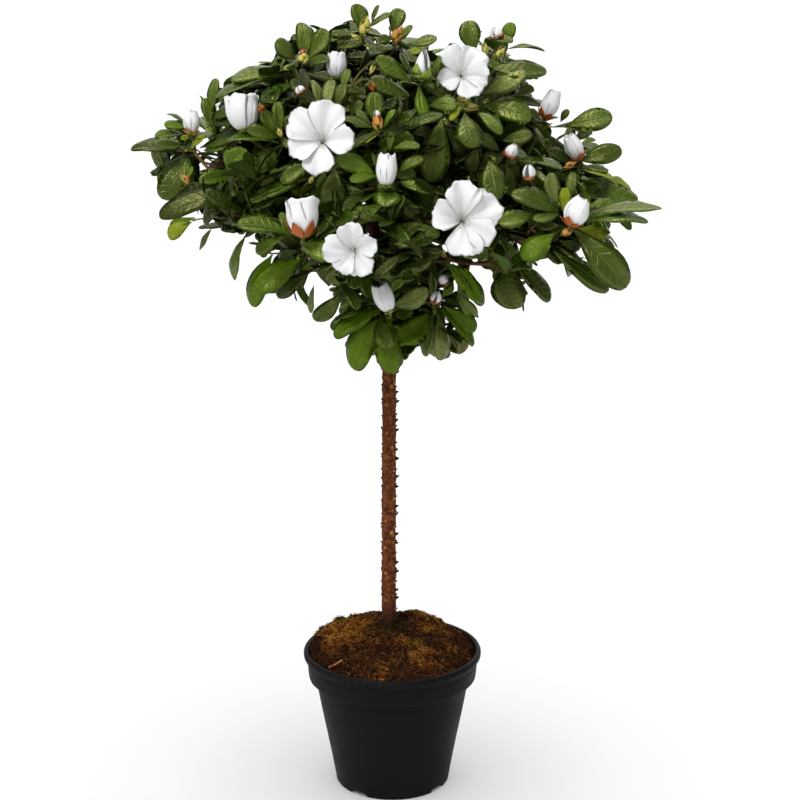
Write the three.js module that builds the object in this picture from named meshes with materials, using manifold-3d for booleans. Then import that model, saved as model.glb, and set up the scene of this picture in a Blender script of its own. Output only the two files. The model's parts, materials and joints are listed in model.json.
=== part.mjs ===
// A potted half-standard azalea: a domed head of foliage on one bare trunk, in a tapered nursery pot.
// Millimetres, +Z up. The origin is the centre of the pot's flat underside. The front is towards -Y.
import * as THREE from "three";
import { mergeVertices } from "three/addons/utils/BufferGeometryUtils.js";
import Module from "manifold-3d";

const wasm = await Module();
wasm.setup();

// ---------------------------------------------------------------- driving dimensions

const GAP = 0.3; // clearance between pieces that touch

// Pot
const RIM_RADIUS = 75;
const POT_HEIGHT = 118;
const FOOT_RADIUS = 48.3;
const LIP_HEIGHT = 6;
const LIP_WIDTH = 5;
const BAND_TOP_RADIUS = 72.5;
const BAND_BOTTOM_RADIUS = 70.6;
const BAND_HEIGHT = 18;
const BODY_TOP_RADIUS = 65.5;
const WALL = 1.6;
const FLOOR = 3;
const POT_SIDES = 32;
const DRAIN_COUNT = 4;
const DRAIN_BEARING = 53; // of the first notch, in degrees from +X towards +Y
const DRAIN_WIDTH = 15;
const DRAIN_DEPTH = 9;
const DRAIN_HEIGHT = 3.2;

// Soil
const MOUND_HEIGHT = 13; // how far the peat stands above the rim round the trunk
const SOIL_EDGE_HEIGHT = -1.5; // of the peat at the pot's wall, from the rim
const SOIL_TILT = 5.5; // how far the peat rises at the wall on its high side
const SOIL_HIGH_SIDE = 165; // bearing, in degrees from +X towards +Y
const SOIL_UNEVENNESS = 1.6;
const SOIL_RINGS = 6;

// Trunk, from its flat cut in the peat to the fork
const TRUNK_FOOT = new THREE.Vector3(-3, 12, POT_HEIGHT + 11);
const TRUNK_FORK = new THREE.Vector3(-5, 5, 468);
const TRUNK_SOCKET = 2; // how deep the flat cut sits in the peat
const TRUNK_RADIUS = 6;
const TRUNK_TIP_RADIUS = 5.4;
const ROOT_FLARE = 3.2; // extra radius at the foot
const FLARE_HEIGHT = 16;
const TRUNK_SIDES = 10;
const TRUNK_STEPS = 13;

// Crown
const CROWN_AXIS = new THREE.Vector3(5, 0, 0);
const MASS_SIDES = 14;
const MASS_RINGS = 10;
const MASS_UNEVENNESS = 0.14;
const BOUGH_SOCKET = 4; // how far a bough's tip enters its mass

// ---------------------------------------------------------------- materials

const plain = (color, roughness) => new THREE.MeshStandardMaterial({ color, roughness, metalness: 0 });
const potPlastic = plain(0x1a1a1a, 0.5);
const peat = plain(0x4a2a14, 0.95);
const bark = plain(0x5a2d16, 0.9);
const youngBark = plain(0x57391c, 0.85);
const foliage = plain(0x2f4a1a, 0.45);

const shrub = new THREE.Group();
shrub.name = "azalea_shrub";

// ---------------------------------------------------------------- solids from geometries and back

function solidOf(geometry) {
  const bare = new THREE.BufferGeometry();
  const source = geometry.index ? geometry.toNonIndexed() : geometry;
  bare.setAttribute("position", source.getAttribute("position"));
  const merged = mergeVertices(bare, 1e-3);
  return new wasm.Manifold(
    new wasm.Mesh({
      numProp: 3,
      vertProperties: merged.attributes.position.array,
      triVerts: new Uint32Array(merged.index.array),
    }),
  );
}

function geometryOf(solid) {
  const mesh = solid.getMesh();
  const geometry = new THREE.BufferGeometry();
  geometry.setAttribute("position", new THREE.BufferAttribute(mesh.vertProperties, 3));
  geometry.setIndex(new THREE.BufferAttribute(mesh.triVerts, 1));
  geometry.computeVertexNormals();
  return geometry;
}

function addPiece(name, solid, material) {
  const mesh = new THREE.Mesh(geometryOf(solid), material);
  mesh.name = name;
  shrub.add(mesh);
}

// A LatheGeometry turns about Y: this stands it up about Z.
const upright = (geometry) => geometry.rotateX(Math.PI / 2);

// ---------------------------------------------------------------- pot

const bandTop = POT_HEIGHT - LIP_HEIGHT;
const bandBottom = bandTop - BAND_HEIGHT;

const ledge = bandBottom + WALL; // the step inside the band

// Radius of the inner wall below the ledge, and above it up to the lip.
const lowerWall = (z) =>
  THREE.MathUtils.mapLinear(z, 0, ledge, FOOT_RADIUS - WALL, BODY_TOP_RADIUS - WALL);
const upperWall = (z) =>
  THREE.MathUtils.mapLinear(z, ledge, POT_HEIGHT, BAND_BOTTOM_RADIUS - WALL, RIM_RADIUS - LIP_WIDTH);

function potSolid() {
  const profile = [
    [0, 0],
    [FOOT_RADIUS - 2, 0],
    [FOOT_RADIUS, 2],
    [BODY_TOP_RADIUS, bandBottom + 0.6],
    [BAND_BOTTOM_RADIUS, bandBottom],
    [BAND_TOP_RADIUS, bandTop],
    [RIM_RADIUS, bandTop],
    [RIM_RADIUS, POT_HEIGHT],
    [upperWall(POT_HEIGHT), POT_HEIGHT],
    [upperWall(ledge), ledge],
    [lowerWall(ledge), ledge],
    [lowerWall(FLOOR), FLOOR],
    [0, FLOOR],
  ].map(([r, z]) => new THREE.Vector2(r, z));
  let pot = solidOf(upright(new THREE.LatheGeometry(profile, POT_SIDES)));
  for (let i = 0; i < DRAIN_COUNT; i++) {
    const notch = new THREE.BoxGeometry(2 * DRAIN_DEPTH, DRAIN_WIDTH, 2 * DRAIN_HEIGHT);
    notch.translate(FOOT_RADIUS, 0, 0);
    notch.rotateZ(THREE.MathUtils.degToRad(DRAIN_BEARING + (360 * i) / DRAIN_COUNT));
    pot = pot.subtract(solidOf(notch));
  }
  return pot;
}

addPiece("pot", potSolid(), potPlastic);

// ---------------------------------------------------------------- limbs

// A tapering limb: a cylinder whose rings are carried along a curve, closed and flat at both ends.
function limbSolid(curve, radiusAt, sides, steps) {
  const geometry = new THREE.CylinderGeometry(1, 1, 1, sides, steps);
  const frames = curve.computeFrenetFrames(steps, false);
  const position = geometry.getAttribute("position");
  for (let i = 0; i < position.count; i++) {
    const step = Math.round((position.getY(i) + 0.5) * steps);
    const along = step / steps;
    const radius = radiusAt(along);
    const centre = curve.getPointAt(along);
    centre.addScaledVector(frames.normals[step], position.getX(i) * radius);
    centre.addScaledVector(frames.binormals[step], -position.getZ(i) * radius);
    position.setXYZ(i, centre.x, centre.y, centre.z);
  }
  return solidOf(geometry);
}

const trunkCurve = new THREE.CatmullRomCurve3([
  TRUNK_FOOT.clone().setZ(TRUNK_FOOT.z - TRUNK_SOCKET),
  TRUNK_FOOT.clone().lerp(TRUNK_FORK, 0.35).add(new THREE.Vector3(0.8, 0, 0)),
  TRUNK_FOOT.clone().lerp(TRUNK_FORK, 0.7).add(new THREE.Vector3(-0.6, 0, 0)),
  TRUNK_FORK,
]);
const trunkLength = trunkCurve.getLength();

function trunkRadius(along) {
  const flare = ROOT_FLARE * Math.exp((-along * trunkLength) / (FLARE_HEIGHT / 2));
  return THREE.MathUtils.lerp(TRUNK_RADIUS, TRUNK_TIP_RADIUS, along) + flare;
}

const trunkSolid = (grow) => limbSolid(trunkCurve, (s) => trunkRadius(s) + grow, TRUNK_SIDES, TRUNK_STEPS);
addPiece("trunk", trunkSolid(0), bark);

// ---------------------------------------------------------------- soil

// Height of the peat at a point: a mound round the trunk, in a pot that was filled higher on one side.
function soilHeight(x, y) {
  const share = Math.hypot(x, y) / upperWall(POT_HEIGHT);
  const round = Math.atan2(y, x) - THREE.MathUtils.degToRad(SOIL_HIGH_SIDE);
  const edge = SOIL_EDGE_HEIGHT + SOIL_TILT * Math.cos(round);
  const humps = Math.sin(x / 9 + 1) * Math.sin(y / 11) + 0.5 * Math.sin(x / 5 - y / 7);
  const level = THREE.MathUtils.lerp(MOUND_HEIGHT, edge, share ** 2.2);
  return POT_HEIGHT + level + SOIL_UNEVENNESS * humps * (1 - share ** 4);
}

function soilSolid() {
  const floor = FLOOR + GAP;
  const edge = POT_HEIGHT + SOIL_EDGE_HEIGHT - SOIL_TILT;
  const outer = upperWall(edge) - 2 * GAP;
  const profile = [
    [0, floor],
    [lowerWall(floor) - 2 * GAP, floor],
    [lowerWall(ledge) - 2 * GAP, ledge + GAP],
    [upperWall(ledge) - 2 * GAP, ledge + GAP],
    [outer, edge],
  ];
  for (let ring = SOIL_RINGS - 1; ring >= 0; ring--) {
    profile.push([(outer * ring) / SOIL_RINGS, edge]);
  }
  const points = profile.map(([r, z]) => new THREE.Vector2(r, z));
  const geometry = upright(new THREE.LatheGeometry(points, POT_SIDES));
  const position = geometry.getAttribute("position");
  for (let i = 0; i < position.count; i++) {
    const [x, y, z] = [position.getX(i), position.getY(i), position.getZ(i)];
    if (z > edge - 1) {
      position.setZ(i, soilHeight(x, y));
    }
  }
  const footRadius = TRUNK_RADIUS + ROOT_FLARE + GAP;
  const socket = upright(new THREE.CylinderGeometry(footRadius, footRadius, 40, 24));
  socket.translate(TRUNK_FOOT.x, TRUNK_FOOT.y, TRUNK_FOOT.z - TRUNK_SOCKET - GAP + 20);
  return solidOf(geometry).subtract(solidOf(socket));
}

addPiece("soil", soilSolid(), peat);

// ---------------------------------------------------------------- foliage masses

// bearing: degrees from +X towards +Y, so -90 is the front. reach: from the crown's axis to the centre.
// across and deep are half sizes: level and upright.
const MASSES = [
  { name: "top", bearing: 180, reach: 22, height: 611, across: 60, deep: 44 },
  { name: "upper_right", bearing: -22, reach: 78, height: 590, across: 56, deep: 47 },
  { name: "upper_front", bearing: -92, reach: 86, height: 576, across: 60, deep: 46 },
  { name: "upper_left", bearing: -164, reach: 86, height: 584, across: 57, deep: 46 },
  { name: "upper_back_left", bearing: 122, reach: 86, height: 580, across: 60, deep: 46 },
  { name: "upper_back_right", bearing: 50, reach: 84, height: 582, across: 60, deep: 46 },
  { name: "skirt_right", bearing: 2, reach: 152, height: 520, across: 57, deep: 45 },
  { name: "skirt_front_right", bearing: -44, reach: 146, height: 508, across: 60, deep: 48 },
  { name: "skirt_front", bearing: -92, reach: 138, height: 508, across: 58, deep: 46 },
  { name: "skirt_front_left", bearing: -138, reach: 142, height: 516, across: 57, deep: 46 },
  { name: "skirt_left", bearing: 176, reach: 152, height: 526, across: 58, deep: 46 },
  { name: "skirt_back_left", bearing: 125, reach: 146, height: 512, across: 62, deep: 46 },
  { name: "skirt_back_right", bearing: 62, reach: 146, height: 510, across: 62, deep: 46 },
  { name: "low_front", bearing: -88, reach: 70, height: 425, across: 54, deep: 43 },
  { name: "low_left", bearing: -166, reach: 92, height: 455, across: 50, deep: 38 },
  { name: "low_right", bearing: -14, reach: 104, height: 456, across: 50, deep: 38 },
  { name: "low_back", bearing: 92, reach: 88, height: 452, across: 52, deep: 40 },
];

function onCrown({ bearing, reach, height }) {
  const angle = THREE.MathUtils.degToRad(bearing);
  return new THREE.Vector3(reach * Math.cos(angle), reach * Math.sin(angle), height).add(CROWN_AXIS);
}

// How far a mass's uneven surface lies from its centre in a direction, as a share of its ellipsoid.
function lumpiness(direction, seed) {
  const { x, y, z } = direction;
  const broad = Math.sin(3.1 * x + 1.7 * seed) * Math.sin(2.7 * y + 2.3 * seed);
  const fine = Math.sin(6.3 * x + seed) * Math.sin(5.7 * y - 2 * seed) * Math.sin(5.1 * z + 3 * seed);
  return 1 + MASS_UNEVENNESS * (broad + 0.8 * fine);
}

const masses = MASSES.map((mass, seed) => ({
  ...mass,
  seed,
  centre: onCrown(mass),
  scale: new THREE.Vector3(mass.across, mass.across, mass.deep),
}));

// The ellipsoid's own radius from its centre in a direction.
const radiusTowards = (mass, direction) => 1 / direction.clone().divide(mass.scale).length();

// Neighbouring masses meet on a plane between their centres, nearer the smaller one.
function meetingPlanes(mass) {
  const planes = [];
  for (const other of masses) {
    const towards = other.centre.clone().sub(mass.centre);
    const distance = towards.length();
    towards.normalize();
    const mine = radiusTowards(mass, towards);
    const theirs = radiusTowards(other, towards);
    if (other !== mass && distance < 1.3 * (mine + theirs)) {
      planes.push({ normal: towards, offset: (distance * mine) / (mine + theirs) - GAP / 2 });
    }
  }
  return planes;
}

for (const mass of masses) {
  mass.planes = meetingPlanes(mass);
}

function insideMass(mass, point) {
  const offset = point.clone().sub(mass.centre);
  const direction = offset.clone().normalize();
  const surface = radiusTowards(mass, direction) * lumpiness(direction, mass.seed);
  return offset.length() < surface && mass.planes.every((p) => offset.dot(p.normal) < p.offset);
}

function massSolid(mass) {
  const geometry = upright(new THREE.SphereGeometry(1, MASS_SIDES, MASS_RINGS));
  const position = geometry.getAttribute("position");
  for (let i = 0; i < position.count; i++) {
    const direction = new THREE.Vector3().fromBufferAttribute(position, i).normalize();
    const out = direction.clone().multiply(mass.scale);
    const towards = out.clone().normalize();
    out.multiplyScalar(lumpiness(towards, mass.seed)).add(mass.centre);
    position.setXYZ(i, out.x, out.y, out.z);
  }
  let solid = solidOf(geometry);
  const reach = 3 * mass.across;
  for (const { normal, offset } of mass.planes) {
    const beyond = new THREE.BoxGeometry(reach, reach, reach);
    beyond.translate(0, 0, reach / 2 + offset);
    beyond.applyQuaternion(new THREE.Quaternion().setFromUnitVectors(new THREE.Vector3(0, 0, 1), normal));
    beyond.translate(mass.centre.x, mass.centre.y, mass.centre.z);
    solid = solid.subtract(solidOf(beyond));
  }
  return solid;
}

// ---------------------------------------------------------------- boughs

// from: the limb it springs from, at: how far along that limb, rise: how steeply it leaves, in degrees.
const BOUGHS = [
  { to: "top", from: "trunk", at: 1, rise: 88, base: 4.4, tip: 2.6 },
  { to: "upper_right", from: "trunk", at: 0.985, rise: 52, base: 3.4, tip: 2.2 },
  { to: "upper_front", from: "trunk", at: 0.972, rise: 48, base: 3.2, tip: 2.1 },
  { to: "upper_left", from: "trunk", at: 0.985, rise: 54, base: 3.4, tip: 2.2 },
  { to: "upper_back_left", from: "trunk", at: 0.97, rise: 50, base: 3.2, tip: 2.1 },
  { to: "upper_back_right", from: "trunk", at: 0.984, rise: 50, base: 3.2, tip: 2.1 },
  { to: "low_front", from: "trunk", at: 0.925, rise: 12, base: 2.4, tip: 1.7 },
  { to: "low_left", from: "trunk", at: 0.94, rise: 16, base: 2.6, tip: 1.8 },
  { to: "low_right", from: "trunk", at: 0.935, rise: 16, base: 2.6, tip: 1.8 },
  { to: "low_back", from: "trunk", at: 0.93, rise: 14, base: 2.5, tip: 1.8 },
  { to: "skirt_right", from: "upper_right", at: 0.22, rise: 34, base: 2.5, tip: 1.7 },
  { to: "skirt_front_right", from: "upper_right", at: 0.42, rise: 12, base: 2.3, tip: 1.6 },
  { to: "skirt_front", from: "upper_front", at: 0.24, rise: 22, base: 2.4, tip: 1.6 },
  { to: "skirt_front_left", from: "upper_left", at: 0.42, rise: 12, base: 2.3, tip: 1.6 },
  { to: "skirt_left", from: "upper_left", at: 0.22, rise: 34, base: 2.5, tip: 1.7 },
  { to: "skirt_back_left", from: "upper_back_left", at: 0.34, rise: 20, base: 2.4, tip: 1.6 },
  { to: "skirt_back_right", from: "upper_back_right", at: 0.3, rise: 20, base: 2.4, tip: 1.6 },
];
const BOUGH_SIDES = 6;
const BOUGH_STEPS = 5;

const limbs = new Map([["trunk", { curve: trunkCurve, radiusAt: trunkRadius, grown: trunkSolid(GAP) }]]);
const massNamed = (name) => masses.find((mass) => mass.name === name);

// The bough leaves its parent outwards at its own rise and bends over towards the heart of its mass.
function boughCurve(bough) {
  const start = limbs.get(bough.from).curve.getPointAt(bough.at);
  const target = massNamed(bough.to).centre;
  const level = target.clone().sub(start).setZ(0);
  const distance = target.distanceTo(start);
  const rise = THREE.MathUtils.degToRad(bough.rise);
  const leave = level.normalize().multiplyScalar(Math.cos(rise)).setZ(Math.sin(rise));
  const bend = start.clone().addScaledVector(leave, 0.5 * distance);
  return new THREE.QuadraticBezierCurve3(start, bend, target);
}

// The share of the curve at which it has gone BOUGH_SOCKET into its mass.
function entryShare(curve, mass) {
  const length = curve.getLength();
  let entered = 0;
  while (entered < length && !insideMass(mass, curve.getPointAt(entered / length))) {
    entered += 0.25;
  }
  return (entered + BOUGH_SOCKET) / length;
}

// The first share of a bough's curve.
function trimmed(curve, share) {
  const last = curve.getUtoTmapping(share);
  const [a, b] = [curve.v0, curve.v1];
  const bend = a.clone().lerp(b, last);
  const end = curve.getPoint(last);
  return new THREE.QuadraticBezierCurve3(a.clone(), bend, end);
}

// The blind hole that takes a bough's tip: straight, and a little deeper and wider than the tip.
function socketSolid(curve, radius) {
  const tip = curve.getPointAt(1);
  const along = curve.getTangentAt(1);
  const mouth = tip.clone().addScaledVector(along, -4 * BOUGH_SOCKET);
  const floor = tip.clone().addScaledVector(along, GAP);
  return limbSolid(new THREE.LineCurve3(mouth, floor), () => radius, BOUGH_SIDES, 1);
}

for (const bough of BOUGHS) {
  const mass = massNamed(bough.to);
  const whole = boughCurve(bough);
  const curve = trimmed(whole, entryShare(whole, mass));
  const radiusAt = (share) => THREE.MathUtils.lerp(bough.base, bough.tip, share);
  const made = (grow) => limbSolid(curve, (s) => radiusAt(s) + grow, BOUGH_SIDES, BOUGH_STEPS);
  const solid = [...limbs.values()].reduce((left, other) => left.subtract(other.grown), made(0));
  const grown = made(GAP);
  limbs.set(bough.to, { curve, radiusAt, grown });
  const [main] = solid.decompose().sort((a, b) => b.volume() - a.volume());
  addPiece(`bough_${bough.to}`, main, youngBark);
  mass.socket = socketSolid(curve, bough.tip + 2 * GAP);
}

for (const mass of masses) {
  addPiece(`foliage_${mass.name}`, massSolid(mass).subtract(mass.socket), foliage);
}

export default shrub;
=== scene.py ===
# %% [markdown]
# # A potted azalea, grown as a half standard
# A domed head of leaves and white flowers stands on one bare trunk in a black nursery pot.
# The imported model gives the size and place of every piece, and this lesson gives each its looks:
# pot, peat, bark, boughs, twigs, leaves, flowers and buds. Lengths are written in millimetres and
# multiplied by MM, because Blender works in metres.

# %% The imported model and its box
import json
import math

import bmesh
import bpy
import numpy as np
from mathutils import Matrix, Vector, noise
from mathutils.bvhtree import BVHTree

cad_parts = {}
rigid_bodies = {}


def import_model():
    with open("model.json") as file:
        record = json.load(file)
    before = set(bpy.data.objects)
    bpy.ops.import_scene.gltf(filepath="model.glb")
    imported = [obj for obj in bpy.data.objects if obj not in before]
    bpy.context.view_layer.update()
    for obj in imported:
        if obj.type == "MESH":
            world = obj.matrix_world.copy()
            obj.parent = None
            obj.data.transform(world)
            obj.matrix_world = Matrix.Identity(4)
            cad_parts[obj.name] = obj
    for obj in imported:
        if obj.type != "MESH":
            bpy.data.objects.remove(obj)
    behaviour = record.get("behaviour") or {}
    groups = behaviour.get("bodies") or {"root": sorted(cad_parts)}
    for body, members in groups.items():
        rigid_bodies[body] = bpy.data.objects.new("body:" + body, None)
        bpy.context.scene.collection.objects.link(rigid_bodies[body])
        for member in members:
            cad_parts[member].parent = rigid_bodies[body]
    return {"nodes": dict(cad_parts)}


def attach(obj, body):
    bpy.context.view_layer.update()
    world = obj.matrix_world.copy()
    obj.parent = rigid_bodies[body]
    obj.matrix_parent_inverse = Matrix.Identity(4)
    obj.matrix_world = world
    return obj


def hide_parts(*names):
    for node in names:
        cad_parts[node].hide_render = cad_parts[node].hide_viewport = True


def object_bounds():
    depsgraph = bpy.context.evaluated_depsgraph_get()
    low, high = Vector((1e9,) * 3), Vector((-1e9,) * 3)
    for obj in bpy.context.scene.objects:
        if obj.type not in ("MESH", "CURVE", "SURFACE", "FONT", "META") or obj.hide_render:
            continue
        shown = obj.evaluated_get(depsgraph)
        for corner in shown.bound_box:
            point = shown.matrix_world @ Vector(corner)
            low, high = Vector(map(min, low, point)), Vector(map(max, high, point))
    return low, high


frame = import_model()
MM = 0.001
model_box = [[float(v) for v in corner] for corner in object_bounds()]
rng = np.random.default_rng(11)
print("nodes:", len(frame["nodes"]), "box:", model_box)

scene = bpy.context.scene

# %% [markdown]
# ## Helpers for nodes, materials and meshes
# Every node tree here is written with the same few calls. `add` makes a node, and each of its
# inputs is either a value or the output of another node. Meshes come from arrays of points, as
# a plant has thousands of small shapes, and arrays make them all at once.

# %% Node and material helpers


def add(tree, kind, inputs=None, **settings):
    node = tree.nodes.new(kind)
    for key, value in settings.items():
        setattr(node, key, value)
    for key, value in (inputs or {}).items():
        if isinstance(value, bpy.types.NodeSocket):
            tree.links.new(value, node.inputs[key])
        else:
            node.inputs[key].default_value = value
    return node


def sums(tree, operation, a, b=0.0, c=0.0):
    return add(tree, "ShaderNodeMath", {0: a, 1: b, 2: c}, operation=operation).outputs[0]


def blend(tree, factor, a, b):
    node = add(tree, "ShaderNodeMix", {0: factor, 6: a, 7: b}, data_type="RGBA")
    return node.outputs[2]


def ramp(tree, value, low, high):
    inputs = {"Value": value, "From Min": low, "From Max": high}
    return add(tree, "ShaderNodeMapRange", inputs, interpolation_type="SMOOTHSTEP").outputs[0]


def noise_at(tree, place, scale, detail, distortion=0.0):
    inputs = {"Vector": place, "Scale": scale, "Detail": detail, "Distortion": distortion}
    return add(tree, "ShaderNodeTexNoise", inputs).outputs[0]


def object_place(tree):
    return add(tree, "ShaderNodeTexCoord").outputs["Object"]


def group_tree(name, kind, inputs, outputs):
    """A node group with named sockets, each given as its name and kind."""
    tree = bpy.data.node_groups.new(name, kind)
    for end, sockets in (("INPUT", inputs), ("OUTPUT", outputs)):
        for label, socket_kind in sockets:
            tree.interface.new_socket(label, in_out=end, socket_type="NodeSocket" + socket_kind)
    return tree, add(tree, "NodeGroupInput").outputs


def close_group(tree, **results):
    end = add(tree, "NodeGroupOutput")
    for label, value in results.items():
        tree.links.new(value, end.inputs[label])


def finish_material(name, roughness, specular, extra=None):
    made = bpy.data.materials.new(name)
    made.use_nodes = True
    shader = made.node_tree.nodes["Principled BSDF"]
    shader.inputs["Roughness"].default_value = roughness
    shader.inputs["Specular IOR Level"].default_value = specular
    for key, value in (extra or {}).items():
        shader.inputs[key].default_value = value
    return made, made.node_tree, shader


def bumped(tree, shader, height, strength, distance):
    inputs = {"Height": height, "Strength": strength, "Distance": distance}
    tree.links.new(add(tree, "ShaderNodeBump", inputs).outputs[0], shader.inputs["Normal"])


def colour(red, green, blue):
    return (red, green, blue, 1.0)


print("black, as a shader takes it:", colour(0, 0, 0))

# %% Mesh helpers


def mesh_piece(name, points, faces, materials, slots=None, maps=None):
    mesh = bpy.data.meshes.new(name)
    faces = faces.tolist() if isinstance(faces, np.ndarray) else faces
    mesh.from_pydata(np.asarray(points).tolist(), [], faces)
    for one in materials:
        mesh.materials.append(one)
    if slots is not None:
        mesh.polygons.foreach_set("material_index", np.asarray(slots, np.int32))
    for label, corners in (maps or {}).items():
        layer = mesh.uv_layers.new(name=label)
        layer.data.foreach_set("uv", np.asarray(corners, np.float32).ravel())
    mesh.polygons.foreach_set("use_smooth", np.ones(len(mesh.polygons), bool))
    mesh.update()
    piece = bpy.data.objects.new(name, mesh)
    scene.collection.objects.link(piece)
    return piece


def keep(piece, slot, *nodes):
    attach(piece, "root")
    if nodes:
        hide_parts(*nodes)
    piece.data.calc_loop_triangles()
    print(piece.name, len(piece.data.loop_triangles), "triangles")
    return piece


def unit(vectors):
    vectors = np.asarray(vectors, float)
    return vectors / np.maximum(np.linalg.norm(vectors, axis=-1, keepdims=True), 1e-12)


def rough(points, size, octaves=4):
    return np.array([noise.fractal(Vector(p / size), 0.9, 2.0, octaves) for p in points])


print("one unit long:", unit((3, 4, 0)))

# %% Tubes and thin sheets


def sweep(centres, radii, sides):
    """Rings carried along a path, each with its outward directions."""
    centres = np.asarray(centres, float)
    along = unit(np.gradient(centres, axis=0))
    across = np.zeros_like(along)
    first = np.cross(along[0], (0.3, 1, 0.2))
    across[0] = unit(first)
    for i in range(1, len(along)):
        across[i] = unit(across[i - 1] - along[i] * (across[i - 1] @ along[i]))
    other = np.cross(along, across)
    turn = np.arange(sides) * 2 * math.pi / sides
    out = across[:, None] * np.cos(turn)[None, :, None] + other[:, None] * np.sin(turn)[None, :, None]
    return centres[:, None] + out * np.asarray(radii)[:, None, None], out


def tube_faces(rings, sides, start=0):
    """Quads round a tube whose points are ring by ring, with a pole after the last ring at each end."""
    faces = []
    for i in range(rings - 1):
        low, high = start + i * sides, start + (i + 1) * sides
        for j in range(sides):
            k = (j + 1) % sides
            faces.append([low + j, low + k, high + k, high + j])
    foot, head = start + rings * sides, start + rings * sides + 1
    for j in range(sides):
        k = (j + 1) % sides
        faces.append([foot, start + k, start + j])
        faces.append([head, start + (rings - 1) * sides + j, start + (rings - 1) * sides + k])
    return faces


def shells(grids, thickness):
    """Thin closed sheets from grids (sheet, row, column, xyz), all with the same faces.

    Returns the points of every sheet, the faces of one, its corner map and which faces are underneath."""
    count, rows, columns, _ = grids.shape
    along, across = np.gradient(grids, axis=1), np.gradient(grids, axis=2)
    face_up = unit(np.cross(along, across))
    under = (grids - face_up * np.asarray(thickness).reshape(-1, 1, 1, 1))[:, 1:-1, 1:-1]
    points = np.concatenate([grids.reshape(count, -1, 3), under.reshape(count, -1, 3)], 1)
    top = np.arange(rows * columns).reshape(rows, columns)
    low = top.copy()
    low[1:-1, 1:-1] = rows * columns + np.arange((rows - 2) * (columns - 2)).reshape(rows - 2, columns - 2)
    faces, corners, below = [], [], []
    for i in range(rows - 1):
        for j in range(columns - 1):
            square = [(i, j), (i + 1, j), (i + 1, j + 1), (i, j + 1)]
            for side, book in ((0, top), (1, low)):
                order = square if side == 0 else square[::-1]
                faces.append([book[a, b] for a, b in order])
                corners.append([(a / (rows - 1), b / (columns - 1)) for a, b in order])
                below.append(side)
    return points, np.array(faces), np.array(corners), np.array(below)


print("a tube of two rings with six sides has", len(tube_faces(2, 6)), "faces")

# %% [markdown]
# ## Geometry node helpers
# Limbs, fibres, crumbs and bark knobs repeat along a path or over a surface, so Geometry Nodes
# make them. `grow` puts a tree on a base mesh, gives its named inputs their values, turns the
# result into a plain mesh and takes the modifier away with the base.

# %% Geometry node helpers


def grow(name, base, tree, **values):
    modifier = base.modifiers.new("nodes", "NODES")
    modifier.node_group = tree
    for item in tree.interface.items_tree:
        if item.in_out == "INPUT" and item.name in values:
            modifier[item.identifier] = values[item.name]
    seen = base.evaluated_get(bpy.context.evaluated_depsgraph_get())
    mesh = bpy.data.meshes.new_from_object(seen)
    bpy.data.objects.remove(base)
    piece = bpy.data.objects.new(name, mesh)
    scene.collection.objects.link(piece)
    mesh.polygons.foreach_set("use_smooth", np.ones(len(mesh.polygons), bool))
    return piece


def limb_tree():
    """Round limbs along every chain of edges, with the radius kept at each point."""
    tree, start = group_tree(
        "limbs",
        "GeometryNodeTree",
        [("Chains", "Geometry"), ("Sides", "Int"), ("Finish", "Material")],
        [("Limbs", "Geometry")],
    )
    radius = add(tree, "GeometryNodeInputNamedAttribute", {"Name": "thickness"}, data_type="FLOAT").outputs[0]
    path = add(tree, "GeometryNodeMeshToCurve", {"Mesh": start["Chains"]}).outputs[0]
    ring = add(tree, "GeometryNodeCurvePrimitiveCircle", {"Resolution": start["Sides"], "Radius": 1.0}).outputs[0]
    inputs = {"Curve": path, "Profile Curve": ring, "Scale": radius, "Fill Caps": True}
    body = add(tree, "GeometryNodeCurveToMesh", inputs).outputs[0]
    whole = add(tree, "GeometryNodeRealizeInstances", {"Geometry": body}).outputs[0]
    done = add(tree, "GeometryNodeSetMaterial", {"Geometry": whole, "Material": start["Finish"]}).outputs[0]
    close_group(tree, Limbs=done)
    return tree


def chains(name, paths, thickness, ages):
    """A base mesh of open chains, with thickness and age kept at each point."""
    mesh = bpy.data.meshes.new(name)
    points = np.concatenate(paths)
    edges, start = [], 0
    for path in paths:
        edges += [(start + i, start + i + 1) for i in range(len(path) - 1)]
        start += len(path)
    mesh.from_pydata(points.tolist(), edges, [])
    for label, values in (("thickness", thickness), ("age", ages)):
        layer = mesh.attributes.new(label, "FLOAT", "POINT")
        layer.data.foreach_set("value", np.concatenate(values).astype(np.float32))
    base = bpy.data.objects.new(name, mesh)
    scene.collection.objects.link(base)
    return base


LIMBS = limb_tree()
print("limb tree has", len(LIMBS.nodes), "nodes")

# %% [markdown]
# ## A shared mottling
# Peat, bark, moss and plastic all vary at two sizes: patches, and a fine grain. One shader group
# does both from the place of a point on the object. It gives a colour between two, and a height
# for the bump. The patches are a share between two colours, and nothing here is an image.

# %% The mottling group


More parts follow.
